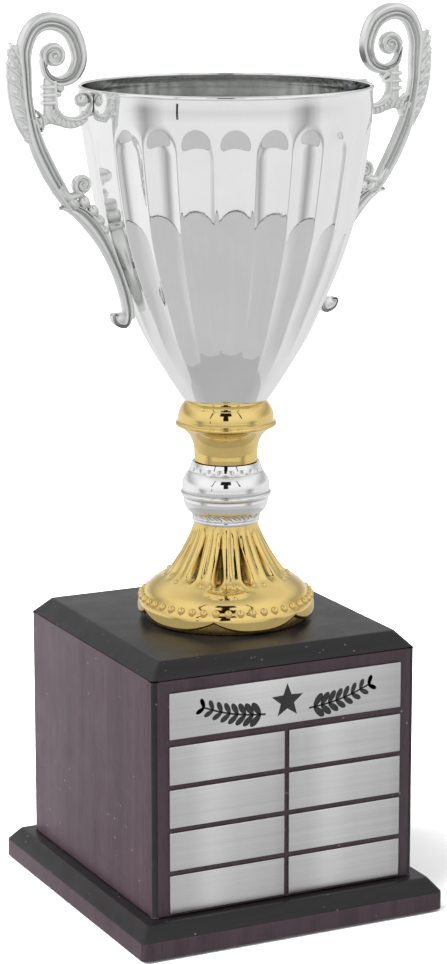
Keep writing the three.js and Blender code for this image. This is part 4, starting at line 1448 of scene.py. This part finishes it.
    def leaf(self, bm: BMesh) -> None:
        """The leaf on the stem's outer side: a scalloped blade under thin slanting ribs."""
        blade = [(34.4, 19.8), (35.4, 13), (35.5, 5), (34.6, -4), (32.4, -12), (28.8, -20)]
        self.rim_strip(bm, blade, [2.6, 5.8, 6.0, 5.8, 5.4, 3.6], FLAT, [0.42, 0.56, 0.56, 0.56, 0.5])
        outer = flowing([(36.9, 20.4), (38.2, 12.6), (38.0, 3.6), (36.5, -5.0), (34.0, -13.0), (29.6, -21.4)], 16)
        inner = flowing([(33.4, 13.8), (33.2, 8.4), (32.9, 0.6), (31.7, -7.5), (29.9, -14.6), (26.6, -21.6)], 16)
        for i in range(self.ribs):
            place = round(i / (self.ribs - 1) * (len(outer) - 1))
            tip, root = self.from_rim(*outer[place]), self.from_rim(*inner[place])
            bow = (tip + root) / 2 + Vector((0.4, 0.5))
            self.strip(bm, [tip, bow, root], [0.9, 1.3, 1.5], ROUND, [0.62, 0.84, 0.95], 0.5)
            if i:
                lean = math.degrees(math.atan2(tip.y - root.y, tip.x - root.x))
                self.lump(bm, (tip * 0.66 + root * 0.34) + Vector((-0.3, 1.75)), 3.1, 1.75, 2.15, lean)

    def bracket(self, bm: BMesh) -> None:
        """The column under the scroll, the ribbed ring, its smooth inner strip and the ball."""
        hub = self.from_rim(9.6, -5.2)

        def polar(degrees: float, reach: float) -> Vector:
            angle = math.radians(degrees)
            return hub + Vector((math.cos(angle), math.sin(angle))) * reach

        ring = [
            (-8, 7.4), (-32, 7.2), (-62, 7.1), (-96, 7.2), (-126, 7.9), (-150, 8.9), (-172, 9.3), (168, 9.0), (150, 7.9),
            (134, 6.0),
        ]
        band = [self.from_rim(17.2, 4.4), self.from_rim(17.3, 0.4), *(polar(*p) for p in ring)]
        band_widths = [2.2, 2.2, 2.3, 2.3, 2.3, 2.4, 2.5, 2.6, 2.4, 2.2, 1.9, 1.6]
        self.strip(bm, band, band_widths, ROUND, [0.92, 0.92, 0.92, 0.9, 0.9, 0.75])
        arc = [polar(a, 9.3) for a in range(-16, -151, -15)]
        self.strip(bm, arc, [3.4, 3.8, 3.4, 2.6], FLAT, [0.5, 0.52, 0.5, 0.45])
        for i in range(9):
            angle = -28 - i * 14.5
            rib = [polar(angle, 7.4), polar(angle - 1, 9.4), polar(angle - 3, 11.0 - 0.1 * i)]
            self.strip(bm, rib, [1.3, 1.7, 1.2], ROUND, [0.84, 0.78, 0.5], 0.5)
        for i in range(3):
            bar = [(22.9, 1.8 - i * 3.3), (20.4, 1.6 - i * 3.3), (17.4, 1.7 - i * 3.3)]
            self.rim_strip(bm, bar, [2.0, 3.0, 3.1], ROUND, [0.72, 0.86, 0.84], 0.5)
        for line, widths, thick in (
            ([(20.0, 5), (20.0, -11)], [4.2, 4.4], [0.55, 0.55]),
            ([(16.4, 2.4), (13.6, 0.2)], [3.4, 2.6], [0.8, 0.7]),
            ([(17.0, -1.2), (14.6, -1.7)], [3.0, 1.8], [0.8, 0.7]),
            ([(15.4, -12.6), (20.2, -11.6), (27, -14.2)], [4.6, 4.6, 5.2], [0.5, 0.55, 0.5]),
        ):
            self.rim_strip(bm, line, widths, FLAT, thick)
        for i in range(5):
            root = self.from_rim(17.2 + i * 2.3, -13.2 - i * 0.1)
            frond = [root, root + Vector((0.9, 1.9)), root + Vector((2.3, 3.4 - 0.2 * i))]
            self.strip(bm, frond, [1.5, 1.7, 1.0], ROUND, [0.85, 0.85, 0.6], 0.5)
        strut = [(26.6, -7.4), (24.2, -9.4), (22.6, -12.6), (23.6, -17.0)]
        self.rim_strip(bm, strut, [1.2, 1.7, 1.7, 1.2], ROUND, [0.9, 0.95, 0.9])
        self.lump(bm, self.from_rim(5.0, -4.2), 3.1, 3.1, 3.0)

    def tail(self, bm: BMesh) -> None:
        """The leaf tip, the ridged band down the cup's side, its curl, the volute and the beads."""
        line = [
            (20.6, -49.7), (18.4, -49.3), (14.8, -50.3), (10.8, -53.2), (6.9, -58.8), (4.2, -66), (2.9, -74), (2.7, -82),
            (3.6, -89.5), (5.6, -96.8), (8.6, -101.2), (12.2, -100.4), (12.4, -97.3), (10.2, -96.9),
        ]
        widths = [1.4, 4.6, 6.4, 6.6, 6.2, 5.4, 4.8, 4.4, 4.3, 4.2, 4.2, 3.4, 2.6, 1.4]
        thick = [0.4, 0.8, 1, 1, 1, 1, 1, 1, 0.95, 0.9, 0.85]
        self.strip(bm, [self.from_wall(*p) for p in line], widths, TAIL, thick, 0.6)
        web = [(6.2, -53.5), (3.0, -59.5), (1.3, -67), (0.7, -76), (1.0, -85), (2.4, -93), (4.6, -99.0)]
        web_widths = [2.4, 2.6, 2.2, 2.0, 2.0, 2.4, 3.0]
        self.strip(bm, [self.from_wall(*p) for p in web], web_widths, ROUND, [0.7, 0.78, 0.78, 0.78, 0.78, 0.8])
        self.lump(bm, self.from_wall(9.8, -98.9), 3.5, 3.1, 2.2)
        volute = self.from_rim(4.8, -39.9)
        self.spiral(bm, volute, -75, 1.7, (4.0, 0.9), [2.6, 2.3, 2.0, 1.7, 1.4], [0.88, 0.86, 0.82, 0.80])
        self.lump(bm, volute, 4.2, 4.2, 1.7)
        self.lump(bm, volute, 1.2, 1.2, 2.7)
        self.lump(bm, self.from_rim(9.4, -47.6), 4.0, 2.6, 2.4, 40)
        join = [(16.4, -41.0), (12.0, -44.8), (7.6, -44.4), (4.8, -43.4)]
        self.rim_strip(bm, join, [6.5, 5.4, 3.6, 2.4], ROUND, [0.86, 0.82, 0.8, 0.8])
        for out, up, lean, size in (
            (8.6, -47.4, 62, 2.75), (5.4, -51.4, 58, 2.6), (3.4, -55.7, 54, 2.4), (2.3, -60.0, 50, 2.15),
        ):
            self.lump(bm, self.from_wall(out, up), size * 1.15, size * 0.9, 3.05, lean)

    def build(self) -> None:
        """Casts the handle and sets it on both sides of the cup."""
        bm = bmesh.new()
        self.crook(bm)
        self.leaf(bm)
        self.bracket(bm)
        self.tail(bm)
        bmesh.ops.recalc_face_normals(bm, faces=bm.faces)
        self.bear_on_cup(bm)
        for side, node in enumerate(("handle_right", "handle_left")):
            copy = bm.copy()
            if side:
                bmesh.ops.rotate(copy, cent=self.cup.centre, matrix=Matrix.Rotation(math.pi, 3, "Z"), verts=copy.verts)
            made = piece("cast_" + node, copy, [self.finishes.cast], [node], sharp=75)
            mark_relief(made, 3.2, 2)
        bm.free()

    def bear_on_cup(self, bm: BMesh) -> None:
        """Flattens what would run into the cup, so that it bears on the wall."""
        place = np.array([v.co for v in bm.verts])
        x, y = place[:, 0] - self.cup.centre.x, place[:, 1] - self.cup.centre.y
        need = (self.cup.radius_at(place[:, 2] / MM) + self.clearance) * MM
        inside = (place[:, 2] < (self.cup.bottom + self.cup.height) * MM) & (np.hypot(x, y) < need)
        reach = np.where(inside, np.sqrt(np.maximum(need**2 - y**2, 0)), x)
        for v, across in zip(bm.verts, reach):
            v.co.x = self.cup.centre.x + across


# ---------------------------------------------------------------- fasteners


@dataclass
class Fasteners:
    """The rod, nuts, washers and screws, which keep their own solids."""

    finishes: Finishes

    def build(self) -> None:
        """Gives each shown CAD node its steel finish."""
        for name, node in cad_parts.items():
            if node.hide_render:
                continue
            node.data.materials.clear()
            node.data.materials.append(self.finishes.steel)
            LOG.info("%s: steel", name)


def main() -> None:
    """Builds the trophy and its studio."""
    logging.basicConfig(level=logging.INFO, format="%(name)s %(message)s")
    finishes = Finishes()
    Studio().build()
    WoodBase(finishes).build()
    PlateSet(finishes).build()
    Foot(finishes).build()
    Knop(finishes).build()
    Collar(finishes).build()
    cup = Cup(finishes)
    cup.build()
    Handle(finishes, cup).build()
    Fasteners(finishes).build()


if __name__ == "__main__":
    main()
